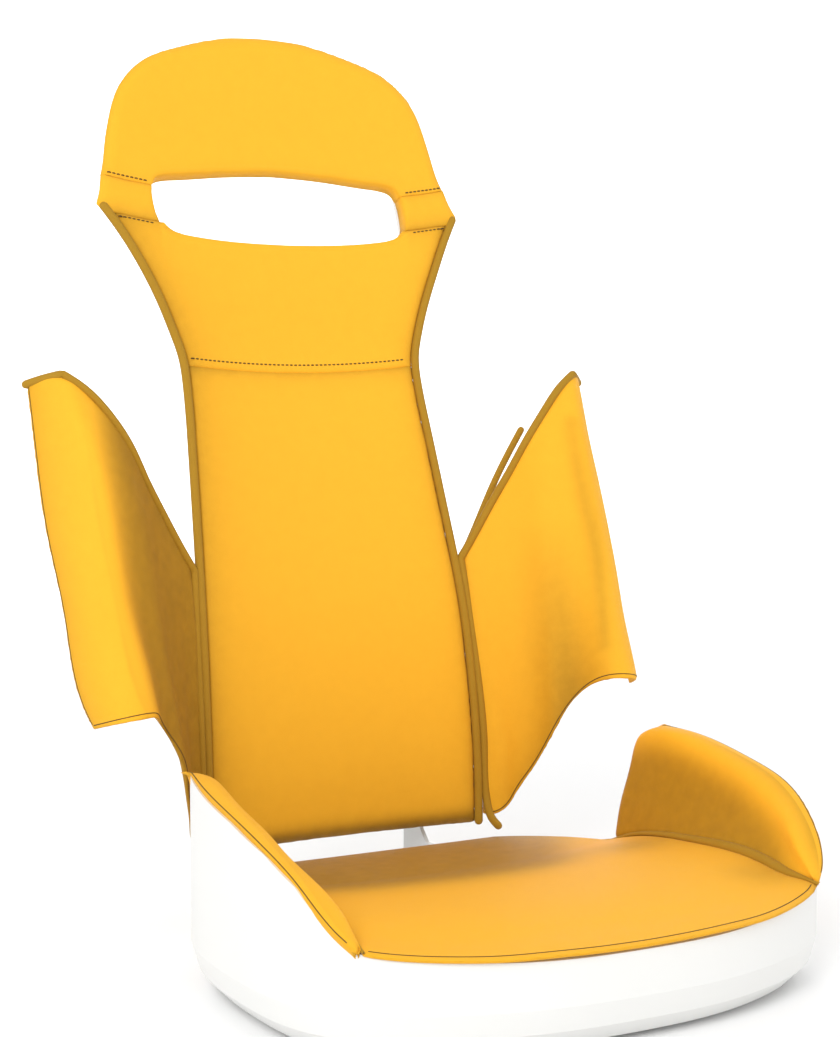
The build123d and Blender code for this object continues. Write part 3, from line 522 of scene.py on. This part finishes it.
def shoulder_painted_shade(grid, gaps):
    """Painted shade: darker beside the pipings and in the hollows under the seams."""
    low, high, left, right = gaps
    side = np.minimum(left, right)
    under_tabs = np.exp(-high / 0.008) * (np.abs(grid[..., 0]) > 0.137)
    rim = 0.12 * np.exp(-high / 0.002)
    mottle_and_painted_shade = 0.35 * np.exp(-side / 0.009) + 0.20 * np.exp(-left / 0.03) + 0.22 * under_tabs + rim
    return np.clip(mottle_and_painted_shade, 0, 0.8)


shoulder_panel = back_panel(
    "shoulder_panel",
    cross_seam(0.0004),
    both(drawn(SLOT_LOW, 90).tolist() + LOWER_JOIN[1:]),
    inset(side_between(SEAM_Z - 0.0004, 0.6680, -1), -1),
    inset(side_between(SEAM_Z - 0.0004, 0.6680, 1), 1),
    120, 56,
    (SEAM_ROLL, (0.005, 0.0022), PIPED_ROLL, PIPED_ROLL),
    (None, None, "side", "side"),
    shoulder_painted_shade,
)
settle(shoulder_panel, "backrest", "leather_yellow", "shoulder_cover", padded=0.6)

# ---------------------------------------------------------------------------------------
# The slot tabs: two short pieces of leather beside the belt slot that run out to the
# shoulder tips, each sewn above and below to its neighbours.
# ---------------------------------------------------------------------------------------
TAB_EDGE = [(0.1905, 0.6690), (0.1950, 0.6722), (TIP, TIP_Z), (0.1965, 0.6850), (0.1938, 0.6920),
            (0.1905, 0.7060)]


def tab_painted_shade(grid, gaps):
    """Painted shade where the tabs sink at both joins, deepening towards the tip."""
    low, high, left, right = gaps
    return np.clip(0.42 * np.exp(-low / 0.007) + 0.18 * np.exp(-high / 0.006), 0, 0.8)


for side, sign in (("right", 1), ("left", -1)):
    flip = (sign, 1)
    tab = back_panel(
        side + "_slot_tab",
        np.array(LOWER_JOIN) * flip,
        np.array(UPPER_JOIN) * flip,
        np.array(SLOT_SIDE) * flip,
        np.array(TAB_EDGE) * flip,
        34, 30,
        ((0.005, 0.0022), (0.005, 0.0022), (0.005, 0.0022), (0.011, 0.0060)),
        (None, None, None, "side"),
        tab_painted_shade,
    )
    if sign < 0:
        tab.data.flip_normals()
    settle(tab, "backrest", "leather_yellow", side + "_slot_cover", padded=0.6)

# ---------------------------------------------------------------------------------------
# The head panel: one piece of leather over the padded head of the back, from the upper rim
# of the belt slot over the rounded top, with a fine edge seam just inside its outline.
# ---------------------------------------------------------------------------------------
HEAD_LINE = [
    (0.1905, 0.7060), (0.1873, 0.7150), (0.1820, 0.7380), (0.1760, 0.7620), (0.1690, 0.7830),
    (0.1600, 0.7990), (0.1496, 0.8110), (0.1327, 0.8240), (0.0950, 0.8390), (0.0480, 0.8510), (0.0, TOP),
]
head_line = drawn(HEAD_LINE, 200)
head_corner = int(np.argmin(np.abs(head_line[:, 1] - 0.7960)))
head_side = head_line[:head_corner + 1]
head_top = head_line[head_corner:]


def head_painted_shade(grid, gaps):
    """Painted shade: darker round the head's edge and where the tabs pull the leather in."""
    low, high, left, right = gaps
    rim = np.minimum(high, np.minimum(left, right))
    return np.clip(0.16 * np.exp(-rim / 0.004) + 0.10 * np.exp(-low / 0.006), 0, 0.8)


head_panel = back_panel(
    "head_panel",
    both(drawn(SLOT_HIGH, 90).tolist() + UPPER_JOIN[1:]),
    both(head_top[::-1]),
    head_side * (-1, 1),
    head_side,
    120, 56,
    ((0.005, 0.0022), (0.012, 0.0070), (0.012, 0.0070), (0.012, 0.0070)),
    (None, "all", "all", "all"),
    head_painted_shade,
)
settle(head_panel, "backrest", "leather_yellow", "head_cover", padded=0.6)

# ---------------------------------------------------------------------------------------
# The back pipings: round cords in darker leather, sewn into both side seams of the back
# from the shoulder tips down to the lower edge.
# ---------------------------------------------------------------------------------------
MUSTARD = (0.430, 0.233, 0.018, 1.0)
MUSTARD_DEEP = (0.300, 0.150, 0.010, 1.0)
piping_leather = leather("piping_leather", MUSTARD, MUSTARD_DEEP)
thread = Finish("dark_thread")
thread.set(Base_Color=(0.085, 0.040, 0.004, 1.0), Roughness=0.75)


def tube(line, radius, sides=14, flat=1.0, lie=(0.0, -1.0, 0.0)):
    """A closed round cord along points; radius may change along it, and lie gives the
    direction in which it is flattened."""
    line = np.asarray(line, float)
    count = len(line)
    radius = np.broadcast_to(np.asarray(radius, float), (count,))
    run = np.gradient(line, axis=0)
    run /= np.linalg.norm(run, axis=1, keepdims=True)
    out = np.array(lie) - run * (run @ np.array(lie))[:, None]
    out = out / np.linalg.norm(out, axis=1, keepdims=True)
    across = np.cross(run, out)
    turn = np.arange(sides) * 2 * pi / sides
    verts, faces = [], []
    for i in range(count):
        for a in turn:
            verts.append(line[i] + radius[i] * (flat * cos(a) * out[i] + sin(a) * across[i]))
    for i in range(count - 1):
        for k in range(sides):
            n = (k + 1) % sides
            faces.append((i * sides + k, (i + 1) * sides + k, (i + 1) * sides + n, i * sides + n))
    for i, way in ((0, -1), (count - 1, 1)):
        ring = [i * sides + k for k in range(sides)]
        for share in (0.75, 0.4):
            start = len(verts)
            for k, a in enumerate(turn):
                round_in = radius[i] * share * (flat * cos(a) * out[i] + sin(a) * across[i])
                verts.append(line[i] + round_in + run[i] * way * radius[i] * sqrt(1 - share**2) * 0.9)
            for k in range(sides):
                n = (k + 1) % sides
                quad = (ring[k], start + k, start + n, ring[n])
                faces.append(quad if way > 0 else quad[::-1])
            ring = list(range(start, start + sides))
        faces.append(tuple(ring) if way > 0 else tuple(ring[::-1]))
    return verts, faces


def solid(name, parts, material, mottle_and_painted_shade=0.0):
    """One object from several closed meshes."""
    verts, faces = [], []
    for some_verts, some_faces in parts:
        start = len(verts)
        verts += [tuple(v) for v in some_verts]
        faces += [tuple(i + start for i in face) for face in some_faces]
    mesh = bpy.data.meshes.new(name)
    mesh.from_pydata(verts, [], faces)
    mesh.polygons.foreach_set("use_smooth", [True] * len(mesh.polygons))
    # one even painted_shade value for the whole piece, which only tints the cords a little browner
    layer = mesh.attributes.new("painted_shade", "FLOAT", "POINT")
    layer.data.foreach_set("value", np.full(len(verts), mottle_and_painted_shade, dtype=np.float32))
    mesh.materials.append(material)
    piece = bpy.data.objects.new(name, mesh)
    bpy.context.collection.objects.link(piece)
    return piece


CORD = 0.0043
for side, sign in (("right", 1), ("left", -1)):
    edge = side_between(BASE + 0.003, TIP_Z - 0.003, sign)
    edge = even(edge - np.array([sign * (CORD + 0.0002), 0.0]), 150)
    cord_line = on_back(edge[None], np.full((1, len(edge)), 0.0028))[0]
    piping = solid(side + "_back_cord", [tube(cord_line, CORD)], piping_leather, 0.05)
    settle(piping, "backrest", "leather_piping", side + "_back_piping")

# ---------------------------------------------------------------------------------------
# The stitching: single rows of dark thread, 3 mm stitches set 1.6 mm apart, above the cross
# seam and beside the four joins of the slot tabs.
# ---------------------------------------------------------------------------------------
STITCH = 0.0031
PITCH = 0.0047
THREAD_R = 0.0007


def stitches(name, line, sink):
    """A row of stitches along a line (x, z) on the back."""
    fine = even(line, 400)
    length = np.linalg.norm(np.diff(fine, axis=0), axis=1).sum()
    row = []
    for i in range(int(length / PITCH)):
        at = [(i * PITCH + STITCH * share) / length for share in (0.0, 0.33, 0.67, 1.0)]
        flat = even(fine, 0, at)
        points = on_back(flat[None], np.array([[0.0008, sink, sink, 0.0008]]))[0]
        row.append(tube(points, THREAD_R, sides=6))
    return solid(name, row, thread.material)


rows = [("cross_stitches", cross_seam(-0.0078, 0.0125), -0.0003)]
for side, sign in (("right", 1), ("left", -1)):
    upper = np.array([(0.1440, 0.7012), (0.1750, 0.7060), (0.1860, 0.7082)]) * (sign, 1)
    lower = np.array([(0.1440, 0.6592), (0.1750, 0.6640), (0.1840, 0.6652)]) * (sign, 1)
    rows += [(side + "_upper_stitches", upper, -0.0002), (side + "_lower_stitches", lower, 0.0)]
for name, line, sink in rows:
    settle(stitches(name, line, sink), "backrest", "leather_piping")


# ---------------------------------------------------------------------------------------
# The wings: leather over foam on a thin moulded shell. Each runs forward from the side seam
# of the back, turns over a rounded nose and comes back to its outer seam.
# ---------------------------------------------------------------------------------------
WING_ROOT = [(0.1500, 0.2125, 0.0740), (0.1496, 0.2150, 0.1450), (0.1487, 0.2234, 0.2100),
             (0.1459, 0.2366, 0.2840), (0.1448, 0.2500, 0.3280)]
WING_FLANK = [(0.2400, 0.1160, 0.2175), (0.2450, 0.1360, 0.2650), (0.2515, 0.1550, 0.3100),
              (0.2550, 0.1680, 0.3500), (0.2575, 0.1860, 0.4020), (0.2600, 0.2060, 0.4500),
              (0.2560, 0.2390, 0.5000)]
WING_CREST = [(0.2590, 0.1130, 0.2165), (0.2630, 0.1265, 0.2400), (0.2670, 0.1440, 0.2730),
              (0.2700, 0.1610, 0.3160), (0.2705, 0.1920, 0.4020), (0.2712, 0.2180, 0.4650),
              (0.2740, 0.2440, 0.5140)]
WING_SEAM = [(0.2850, 0.1490, 0.2045), (0.2887, 0.1595, 0.2180), (0.2930, 0.1775, 0.2500),
             (0.2940, 0.1957, 0.2980), (0.2985, 0.2245, 0.3660), (0.3000, 0.2525, 0.4450),
             (0.3000, 0.2720, 0.5050)]
WING_FOOT = [(0.1500, 0.2125, 0.0740), (0.1640, 0.2050, 0.0745), (0.1705, 0.1940, 0.0900),
             (0.1780, 0.1800, 0.1120), (0.1845, 0.1690, 0.1310), (0.1910, 0.1590, 0.1510),
             (0.1985, 0.1505, 0.1725), (0.2095, 0.1480, 0.1875), (0.2225, 0.1390, 0.2050),
             (0.2320, 0.1270, 0.2135), (0.2400, 0.1160, 0.2175)]
WING_RIM = [(0.1448, 0.2500, 0.3280), (0.1610, 0.2480, 0.3540), (0.1790, 0.2450, 0.3850),
            (0.1970, 0.2400, 0.4160), (0.2130, 0.2350, 0.4460), (0.2330, 0.2340, 0.4750),
            (0.2560, 0.2390, 0.5000)]
WING_FOLD = [(0.2376, 0.1280, 0.2511), (0.2475, 0.1500, 0.2998), (0.2520, 0.1680, 0.3440),
             (0.2510, 0.1900, 0.3970), (0.2522, 0.2030, 0.4266), (0.2560, 0.2200, 0.4615)]
WING_DEEP = 0.016
WING_SHELL_DEEP = 0.0035


def wing_surface(across, up):
    """A grid on the right wing's leather, from the root out and from the foot up."""
    shares = crowded(up)
    fine = np.linspace(0, 1, 160)
    root, nose = drawn(WING_ROOT, 160), drawn(WING_FLANK, 160)
    crest, seam = drawn(WING_CREST, 160), drawn(WING_SEAM, 160)
    foot, rim = even(drawn(WING_FOOT, 160), 160), even(drawn(WING_RIM, 160), 160)
    u = np.array([0.0, 0.05, 0.12, 0.22, 0.34, 0.48, 0.62, 0.76, 0.88, 1.0])
    low, high = even(foot, 0, u), even(rim, 0, u)
    rows = []
    for share in shares:
        at = [
            np.stack([np.interp(share, fine, line[:, k]) for k in range(3)])
            for line in (root, nose, crest, seam)
        ]
        flank = (
            (1 - u)[:, None] * at[0] + u[:, None] * at[1] + (1 - share) * low + share * high
            - (1 - u)[:, None] * ((1 - share) * low[0] + share * high[0])
            - u[:, None] * ((1 - share) * low[-1] + share * high[-1])
        )
        rows.append(even(drawn(list(flank) + [at[2], at[3]], 90), 0, crowded(across)))
    return np.array(rows)


def normals(grid):
    """Unit normals of a grid, on the side its columns and rows turn towards."""
    along = np.gradient(grid, axis=1)
    up = np.gradient(grid, axis=0)
    out = np.cross(along, up)
    return out / np.maximum(np.linalg.norm(out, axis=-1, keepdims=True), 1e-9)


def calmed(grid, passes):
    """A grid with its inner points averaged with their neighbours again and again."""
    grid = grid.copy()
    for _ in range(passes):
        middle = (grid[:-2, 1:-1] + grid[2:, 1:-1] + grid[1:-1, :-2] + grid[1:-1, 2:]) / 4
        grid[1:-1, 1:-1] = 0.5 * grid[1:-1, 1:-1] + 0.5 * middle
    return grid


def shrunk(grid, low, high, left, right):
    """The same grid over a smaller part of its surface, by shares taken off each side."""
    rows, columns = grid.shape[:2]
    r = (low + (1 - low - high) * np.linspace(0, 1, rows)) * (rows - 1)
    c = (left + (1 - left - right) * np.linspace(0, 1, columns)) * (columns - 1)
    r0, c0 = np.minimum(r.astype(int), rows - 2), np.minimum(c.astype(int), columns - 2)
    fr, fc = (r - r0)[:, None, None], (c - c0)[None, :, None]
    return (
        (1 - fr) * (1 - fc) * grid[np.ix_(r0, c0)] + (1 - fr) * fc * grid[np.ix_(r0, c0 + 1)]
        + fr * (1 - fc) * grid[np.ix_(r0 + 1, c0)] + fr * fc * grid[np.ix_(r0 + 1, c0 + 1)]
    )


def bell(value, middle, width):
    """A smooth hump."""
    return np.exp(-((value - middle) / width) ** 2)


wing_grid = calmed(wing_surface(96, 110), 6)
wing_edges = (wing_grid[0], wing_grid[-1], wing_grid[:, 0], wing_grid[:, -1])
wing_gaps = [reach(wing_grid, line) for line in wing_edges]
wing_rolls = [
    rolled(gap, radius, depth)
    for gap, radius, depth in zip(wing_gaps, (0.005, 0.006, 0.010, 0.006), (0.0025, 0.0035, 0.0055, 0.0030))
]
wing_depth = np.max(wing_rolls, axis=0)
wing_out = normals(calmed(wing_grid, 12))
wing_face = wing_grid - wing_out * wing_depth[..., None]
wing_under = calmed(wing_grid, 60)
wing_under_out = normals(wing_under)
wing_edge_gap = np.min([wing_gaps[0], wing_gaps[1], wing_gaps[3]], axis=0)
wing_fill = (1 - np.exp(-(wing_edge_gap / 0.045) ** 1.5)) * np.clip((wing_grid[..., 2] - 0.10) / 0.12, 0, 1)
wing_thick = (0.004 + (WING_DEEP - 0.004) * wing_fill)[..., None]
wing_rear = shrunk(wing_under - wing_under_out * wing_thick, 0.03, 0.02, 0.02, 0.02)
wing_skin = shrunk(wing_under - wing_under_out * (wing_thick + 0.0006), 0.34, 0.08, 0.09, 0.08)
wing_back = shrunk(
    wing_under - wing_under_out * (wing_thick + 0.0006 + WING_SHELL_DEEP), 0.345, 0.085, 0.095, 0.085
)
nose_gap = reach(wing_grid, drawn(WING_FLANK, 160))
wing_z = wing_grid[..., 2]
wing_x = wing_grid[..., 0]
fold_gap = reach(wing_grid, drawn(WING_FOLD, 80))
wing_across = np.linspace(0, 1, wing_grid.shape[1])[None, :] * np.ones_like(wing_z)
foot_gap, _, root_gap, seam_gap = wing_gaps
inner_half = wing_across < 0.72

moulded_shell = Finish("moulded_shell")
shell_fleck = moulded_shell.noise(0.0012, 3.0, 0.6)
moulded_shell.set(
    Base_Color=moulded_shell.mix(
        (shell_fleck * 0.5).held(), (0.80, 0.80, 0.78, 1.0), (0.72, 0.72, 0.70, 1.0)
    ),
    Roughness=0.36 + shell_fleck * 0.12, Coat_Weight=0.25, Coat_Roughness=0.2,
)

for side, sign in (("right", 1), ("left", -1)):
    mirror = (sign, 1, 1)
    # Painted shade: on the right wing a dark patch low on the inner flank, a dark line along the fold, and
    # darkening at the foot and along the root; on the left wing the inner half dark away from the nose and
    # darker along the outer seam.
    if sign > 0:
        fade = np.clip((0.37 - wing_z) / 0.16, 0, 1)
        mottle_and_painted_shade = 0.50 * bell(wing_x, 0.214, 0.022) * fade * inner_half + 0.30 * bell(fold_gap, 0.0, 0.008)
        mottle_and_painted_shade = mottle_and_painted_shade + 0.36 * np.exp(-foot_gap / 0.022) * bell(wing_x, 0.185, 0.030) * inner_half
        mottle_and_painted_shade = mottle_and_painted_shade + 0.14 * np.exp(-root_gap / 0.010)
    else:
        mottle_and_painted_shade = inner_half * 0.72 * (1 - np.exp(-(nose_gap / 0.022) ** 2))
        mottle_and_painted_shade = mottle_and_painted_shade + 0.34 * np.exp(-seam_gap / 0.018)
    wing = panel(
        side + "_wing_leather", wing_face * mirror, wing_rear * mirror, yellow_leather,
        np.clip(mottle_and_painted_shade, 0, 0.75), turned=sign < 0,
    )
    settle(wing, "backrest", "leather_yellow", side + "_wing_cover", side + "_wing_foam", padded=0.6)
    shell = panel(
        side + "_wing_skin", wing_skin * mirror, wing_back * mirror, moulded_shell.material,
        np.zeros(wing_z.shape), turned=sign < 0,
    )
    settle(shell, "backrest", "moulded_shell", side + "_wing_shell")

# ---------------------------------------------------------------------------------------
# The wing pipings: the same darker cord round the top of each wing, from the outer corner
# over the peak and down to the back, on down beside the back's own piping, and a second
# short run of it behind the top edge.
# ---------------------------------------------------------------------------------------
WING_CORD = 0.0040
rim_line = np.concatenate([
    drawn([(0.2995, 0.2715, 0.5035), (0.2880, 0.2590, 0.5085), (0.2745, 0.2440, 0.5130)], 14)[:-1],
    drawn([(0.2745, 0.2440, 0.5130)] + WING_RIM[::-1], 90)[:-1],
    drawn([(0.1448, 0.2500, 0.3280), (0.1475, 0.2400, 0.2840), (0.1508, 0.2255, 0.2100),
           (0.1528, 0.2165, 0.1450), (0.1540, 0.2120, 0.0850), (0.1570, 0.2080, 0.0700),
           (0.1630, 0.2050, 0.0620)], 76),
])
rear_line = drawn([(0.2235, 0.2620, 0.4560), (0.2060, 0.2630, 0.4270), (0.1880, 0.2620, 0.3960),
                   (0.1700, 0.2590, 0.3630), (0.1500, 0.2540, 0.3300)], 60)
for side, sign in (("right", 1), ("left", -1)):
    mirror = (sign, 1, 1)
    cords = [
        tube(even(rim_line, 180) * mirror, WING_CORD, lie=(-sign * 0.6, -0.8, 0.0)),
        tube(rear_line * mirror, 0.0036),
    ]
    settle(solid(side + "_wing_cord", cords, piping_leather, 0.05), "backrest", "leather_piping",
           side + "_wing_piping")

# ---------------------------------------------------------------------------------------
# The seat pad: leather over a foam block that is high behind the knees and falls away to the
# back, sewn to the bolsters along a crease each side and turned under at front and rear.
# ---------------------------------------------------------------------------------------
SEAT_CORNER = [(0.1560, 0.2046, 0.0530), (0.1700, 0.1900, 0.0550), (0.1802, 0.1730, 0.0575),
               (0.1966, 0.1190, 0.0655), (0.2020, 0.0625, 0.0730)]
SEAT_CREASE = [(0.2020, 0.0625, 0.0730), (0.2055, 0.0230, 0.0840), (0.2075, -0.0630, 0.0946),
               (0.2085, -0.1210, 0.0975), (0.2092, -0.1625, 0.0946), (0.2096, -0.1890, 0.0910),
               (0.2120, -0.2080, 0.0898), (0.2140, -0.2215, 0.0880)]
SEAT_FRONT = [(0.0, -0.2830, 0.0815), (0.0450, -0.2825, 0.0822), (0.0850, -0.2790, 0.0830),
              (0.1220, -0.2705, 0.0828), (0.1520, -0.2595, 0.0836), (0.1850, -0.2430, 0.0852),
              (0.2010, -0.2330, 0.0866), (0.2140, -0.2215, 0.0880)]
PAD_DEEP = 0.021
crease_line = np.concatenate([drawn(SEAT_CORNER, 60)[:-1], drawn(SEAT_CREASE, 90)])
front_half = drawn(SEAT_FRONT, 90)
pad_front = np.concatenate([front_half[:0:-1] * (-1, 1, 1), front_half])
pad_rear = straight((-0.1560, 0.2046, 0.0530), (0.1560, 0.2046, 0.0530))
pad_right = crease_line[::-1]
pad_left = pad_right * (-1, 1, 1)

pad_grid = calmed(patch(pad_front, pad_rear, pad_left, pad_right, 90, 100), 4)
pad_gaps = [reach(pad_grid, line) for line in (pad_front, pad_rear, pad_left, pad_right)]
pad_x, pad_y = pad_grid[..., 0], pad_grid[..., 1]
pad_sunk = 1 - 0.85 * np.clip((-0.160 - pad_y) / 0.045, 0, 1)
pad_depth = (
    np.maximum(
        rolled(pad_gaps[0], 0.006, 0.0025), pad_sunk * rolled(np.min(pad_gaps[1:], axis=0), 0.010, 0.0045)
    )
    + 0.004 * np.clip(1 - (pad_x / 0.2) ** 2, 0, 1) * np.clip(1 - ((pad_y + 0.02) / 0.2) ** 2, 0, 1)
)
pad_face = pad_grid - normals(calmed(pad_grid, 10)) * pad_depth[..., None]
pad_thick = 0.0035 + (PAD_DEEP - 0.0035) * (1 - np.exp(-(pad_gaps[0] / 0.040) ** 1.5))
pad_rear_face = shrunk(
    pad_grid - pad_thick[..., None] * np.array([0.0, 0.0, 1.0]), 0.012, 0.03, 0.03, 0.03
)

# Painted shade: the rear of the pad darker, darker strips along the right crease and the front edge, and two
# dark patches near the right bolster.
rear_painted_shade = 1 / (1 + np.exp(-(pad_y + 0.045) / 0.014))
rear_painted_shade = rear_painted_shade / (1 + np.exp((0.872 * pad_x - 0.489 * pad_y - 0.10) / 0.012))
pad_painted_shade = (
    0.74 * rear_painted_shade + 0.22 * np.exp(-pad_gaps[3] / 0.012) + 0.15 * np.exp(-pad_gaps[0] / 0.003)
    + 0.35 * bell(pad_x, 0.170, 0.035) * bell(pad_y, -0.020, 0.035)
    + 0.25 * bell(pad_x, 0.188, 0.030) * bell(pad_y, -0.180, 0.028)
)
seat_pad = panel("seat_pad", pad_face, pad_rear_face, yellow_leather, np.clip(pad_painted_shade, 0, 0.8))
settle(seat_pad, "seat", "leather_yellow", "seat_cover", "seat_foam", padded=0.7)

# ---------------------------------------------------------------------------------------
# The side bolsters: leather over a foam wedge on each side of the pad, rising from the crease
# to a soft crest and turned out over it to the seam at the rim of the pan.
# ---------------------------------------------------------------------------------------
BOLSTER_CREST = [(0.2290, 0.0560, 0.1745), (0.2300, 0.0135, 0.1800), (0.2340, -0.0290, 0.1745),
                 (0.2360, -0.0720, 0.1650), (0.2350, -0.1070, 0.1560), (0.2325, -0.1370, 0.1440),
                 (0.2240, -0.1700, 0.1290), (0.2160, -0.1935, 0.1120), (0.2149, -0.2160, 0.0930)]
BOLSTER_SEAM = [(0.2400, 0.0390, 0.1850), (0.2520, -0.0060, 0.1800), (0.2570, -0.0790, 0.1680),
                (0.2550, -0.1370, 0.1540), (0.2470, -0.1730, 0.1360), (0.2395, -0.1960, 0.1175),
                (0.2290, -0.2120, 0.1010), (0.2158, -0.2220, 0.0887)]


def bolster_grid(across, up):
    """A grid on the right bolster, from the crease out and from the front to the rear."""
    lines = [drawn(line[::-1], 160) for line in (SEAT_CREASE, BOLSTER_CREST, BOLSTER_SEAM)]
    shares = np.linspace(0, 1, up) ** 0.9
    fine = np.linspace(0, 1, 160)
    rows = []
    for share in shares:
        crease, crest, seam = [
            np.stack([np.interp(share, fine, line[:, k]) for k in range(3)]) for line in lines
        ]
        hollow = 0.004 * sin(pi * share) ** 0.5
        back = 0.005 * share ** 8
        lower = crease + 0.35 * (crest - crease) + (hollow * (1 - share ** 4) - 0.001, back, 0.0)
        upper = crease + 0.70 * (crest - crease) + (hollow * 0.7 * (1 - share ** 4) - 0.001, back, 0.0)
        over = (crest + seam) / 2 + (0.0, 0.0, 0.0035 * sin(pi * share) ** 0.5)
        rows.append(even(drawn([crease, lower, upper, crest, over, seam], 80), 0, crowded(across)))
    return np.array(rows)


bolster = calmed(bolster_grid(56, 100), 4)
bolster_gaps = [reach(bolster, line) for line in (bolster[0], bolster[-1], bolster[:, 0], bolster[:, -1])]
bolster_out = normals(calmed(bolster, 10))
bolster_face = bolster - bolster_out * (
    rolled(bolster_gaps[1], 0.010, 0.006) + rolled(bolster_gaps[2], 0.006, 0.0035)
    + rolled(bolster_gaps[3], 0.006, 0.0030)
)[..., None]
step = np.linspace(0, 1, bolster.shape[1])[None, :, None]
rise = np.linspace(0, 1, bolster.shape[0])[:, None, None]
under_crease = bolster[:, :1] + np.array([0.001, 0.0, -0.012])
under_seam = bolster[:, -1:] + np.array([-0.0025, 0.0, -0.006])
bolster_rear = under_crease + crowded(bolster.shape[1])[None, :, None] * (under_seam - under_crease)
bolster_rear = bolster_rear + np.sin(pi * step) * np.minimum(rise * 3, 1) * np.array([0.010, 0.0, -0.004])
bolster_rear = shrunk(bolster_rear, 0.02, 0.03, 0.02, 0.0)
crest_line = drawn(BOLSTER_CREST, 160)
bolster_crest_gap = reach(bolster, crest_line)
inner_flank = np.linspace(0, 1, bolster.shape[1])[None, :] < 0.80

for side, sign in (("right", 1), ("left", -1)):
    mirror = (sign, 1, 1)
    # Painted shade: the inner flank darker away from the crest, strongly on the right bolster and lightly on
    # the left, and a darker line along the outer seam.
    mottle_and_painted_shade = inner_flank * (1 - np.exp(-(bolster_crest_gap / 0.020) ** 2)) * (0.66 if sign > 0 else 0.2)
    mottle_and_painted_shade = mottle_and_painted_shade + 0.15 * np.exp(-bolster_gaps[3] / 0.004)
    made = panel(
        side + "_bolster_leather", bolster_face * mirror, bolster_rear * mirror, yellow_leather,
        np.clip(mottle_and_painted_shade, 0, 0.8), turned=sign < 0,
    )
    settle(
        made, "seat", "leather_yellow", side + "_bolster_cover", side + "_bolster_foam", padded=0.6
    )

# ---------------------------------------------------------------------------------------
# The crease welts: a cord sewn into the join of pad and bolster on each side, thin round the
# rear corner of the pad, thicker along the front half, and thin again at its front end.
# ---------------------------------------------------------------------------------------
welt_line = even(crease_line, 160)
welt_line[:, 2] += 0.0006 - 0.0042 * np.clip((welt_line[:, 1] - 0.035) / 0.05, 0, 1)
welt_share = np.clip((0.075 - welt_line[:, 1]) / 0.20, 0, 1)
welt_radius = 0.0013 + 0.0042 * welt_share * (1 - 0.95 * np.clip((-0.175 - welt_line[:, 1]) / 0.04, 0, 1))
for side, sign in (("right", 1), ("left", -1)):
    cord = tube(welt_line * (sign, 1, 1), welt_radius, flat=0.8, lie=(-sign * 0.5, 0.0, 0.85))
    settle(solid(side + "_crease_cord", [cord], piping_leather, 0.05), "seat", "leather_piping",
           side + "_crease_piping")

# ---------------------------------------------------------------------------------------
# The edge seams: one fine line of dark thread just inside the outline of the head, the outer
# and lower edges of the wings, the front of the pad and the outer edge of each bolster.
# ---------------------------------------------------------------------------------------
EDGE_R = 0.00045
head_run = np.diff(head_line, axis=0)
head_run = np.concatenate([head_run, head_run[-1:]])
head_in = np.stack([-head_run[:, 1], head_run[:, 0]], axis=1)
head_in /= np.linalg.norm(head_in, axis=1, keepdims=True)
head_seam = both((head_line + head_in * 0.0050)[::-1])
head_seam_line = on_back(head_seam[None], np.full((1, len(head_seam)), 0.0022))[0]
settle(solid("head_edge_seam", [tube(even(head_seam_line, 200), EDGE_R, sides=6)], thread.material),
       "backrest", "leather_piping")
for side, sign in (("right", 1), ("left", -1)):
    mirror = (sign, 1, 1)
    wing_lines = [wing_face[3, 4:-4], wing_face[4:-4, -4]]
    seams = [tube(even(line, 120) * mirror, EDGE_R, sides=6) for line in wing_lines]
    settle(solid(side + "_wing_edge_seam", seams, thread.material), "backrest", "leather_piping")
    seam = tube(even(bolster_face[3:-2, -4], 120) * mirror, EDGE_R, sides=6)
    settle(solid(side + "_bolster_edge_seam", [seam], thread.material), "seat", "leather_piping")
pad_seam = tube(even(pad_face[3, 3:-3], 140), EDGE_R, sides=6)
settle(solid("pad_edge_seam", [pad_seam], thread.material), "seat", "leather_piping")

# ---------------------------------------------------------------------------------------
# The seat pan and the shell of the back: moulded in pale glass-reinforced plastic with a
# gelcoat face, which is what the trim is fixed to.
# ---------------------------------------------------------------------------------------


def dress(material, *names):
    """Gives CAD nodes a finish."""
    for node in names:
        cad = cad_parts[node]
        cad.data.materials.clear()
        cad.data.materials.append(material)


dress(moulded_shell.material, "seat_pan", "back_shell")

# ---------------------------------------------------------------------------------------
# The recline hinge and the fasteners: folded steel brackets painted light grey, zinc-plated
# bolts, pins, nuts and inserts, and two friction washers.
# ---------------------------------------------------------------------------------------
painted = Finish("painted_bracket")
orange_peel = painted.noise(0.0025, 2.0, 0.5)
painted.set(
    Base_Color=painted.mix((orange_peel * 0.4).held(), (0.62, 0.62, 0.61, 1.0), (0.54, 0.54, 0.53, 1.0)),
    Roughness=0.34 + orange_peel * 0.14, Normal=painted.bump(orange_peel, 0.0002, 0.3),
)
zinc = Finish("zinc_fastener")
spangle = zinc.noise(0.0018, 3.0, 0.6)
zinc.set(
    Base_Color=zinc.mix(spangle, (0.62, 0.63, 0.64, 1.0), (0.48, 0.49, 0.50, 1.0)),
    Metallic=1.0, Roughness=0.28 + spangle * 0.2,
)
friction = Finish("friction_washer")
friction_fleck = friction.noise(0.0012, 4.0, 0.7)
friction.set(
    Base_Color=friction.mix(friction_fleck, (0.05, 0.047, 0.044, 1.0), (0.11, 0.10, 0.09, 1.0)),
    Roughness=0.85,
)
dress(painted.material, "right_base_bracket", "left_base_bracket", "right_back_bracket", "left_back_bracket")
dress(
    zinc.material, "mounting_inserts", "base_bracket_bolts", "seat_tee_nuts", "hinge_pins", "hinge_nuts",
    "back_bracket_bolts", "back_tee_nuts", "wing_bolts",
)
dress(friction.material, "hinge_washers")
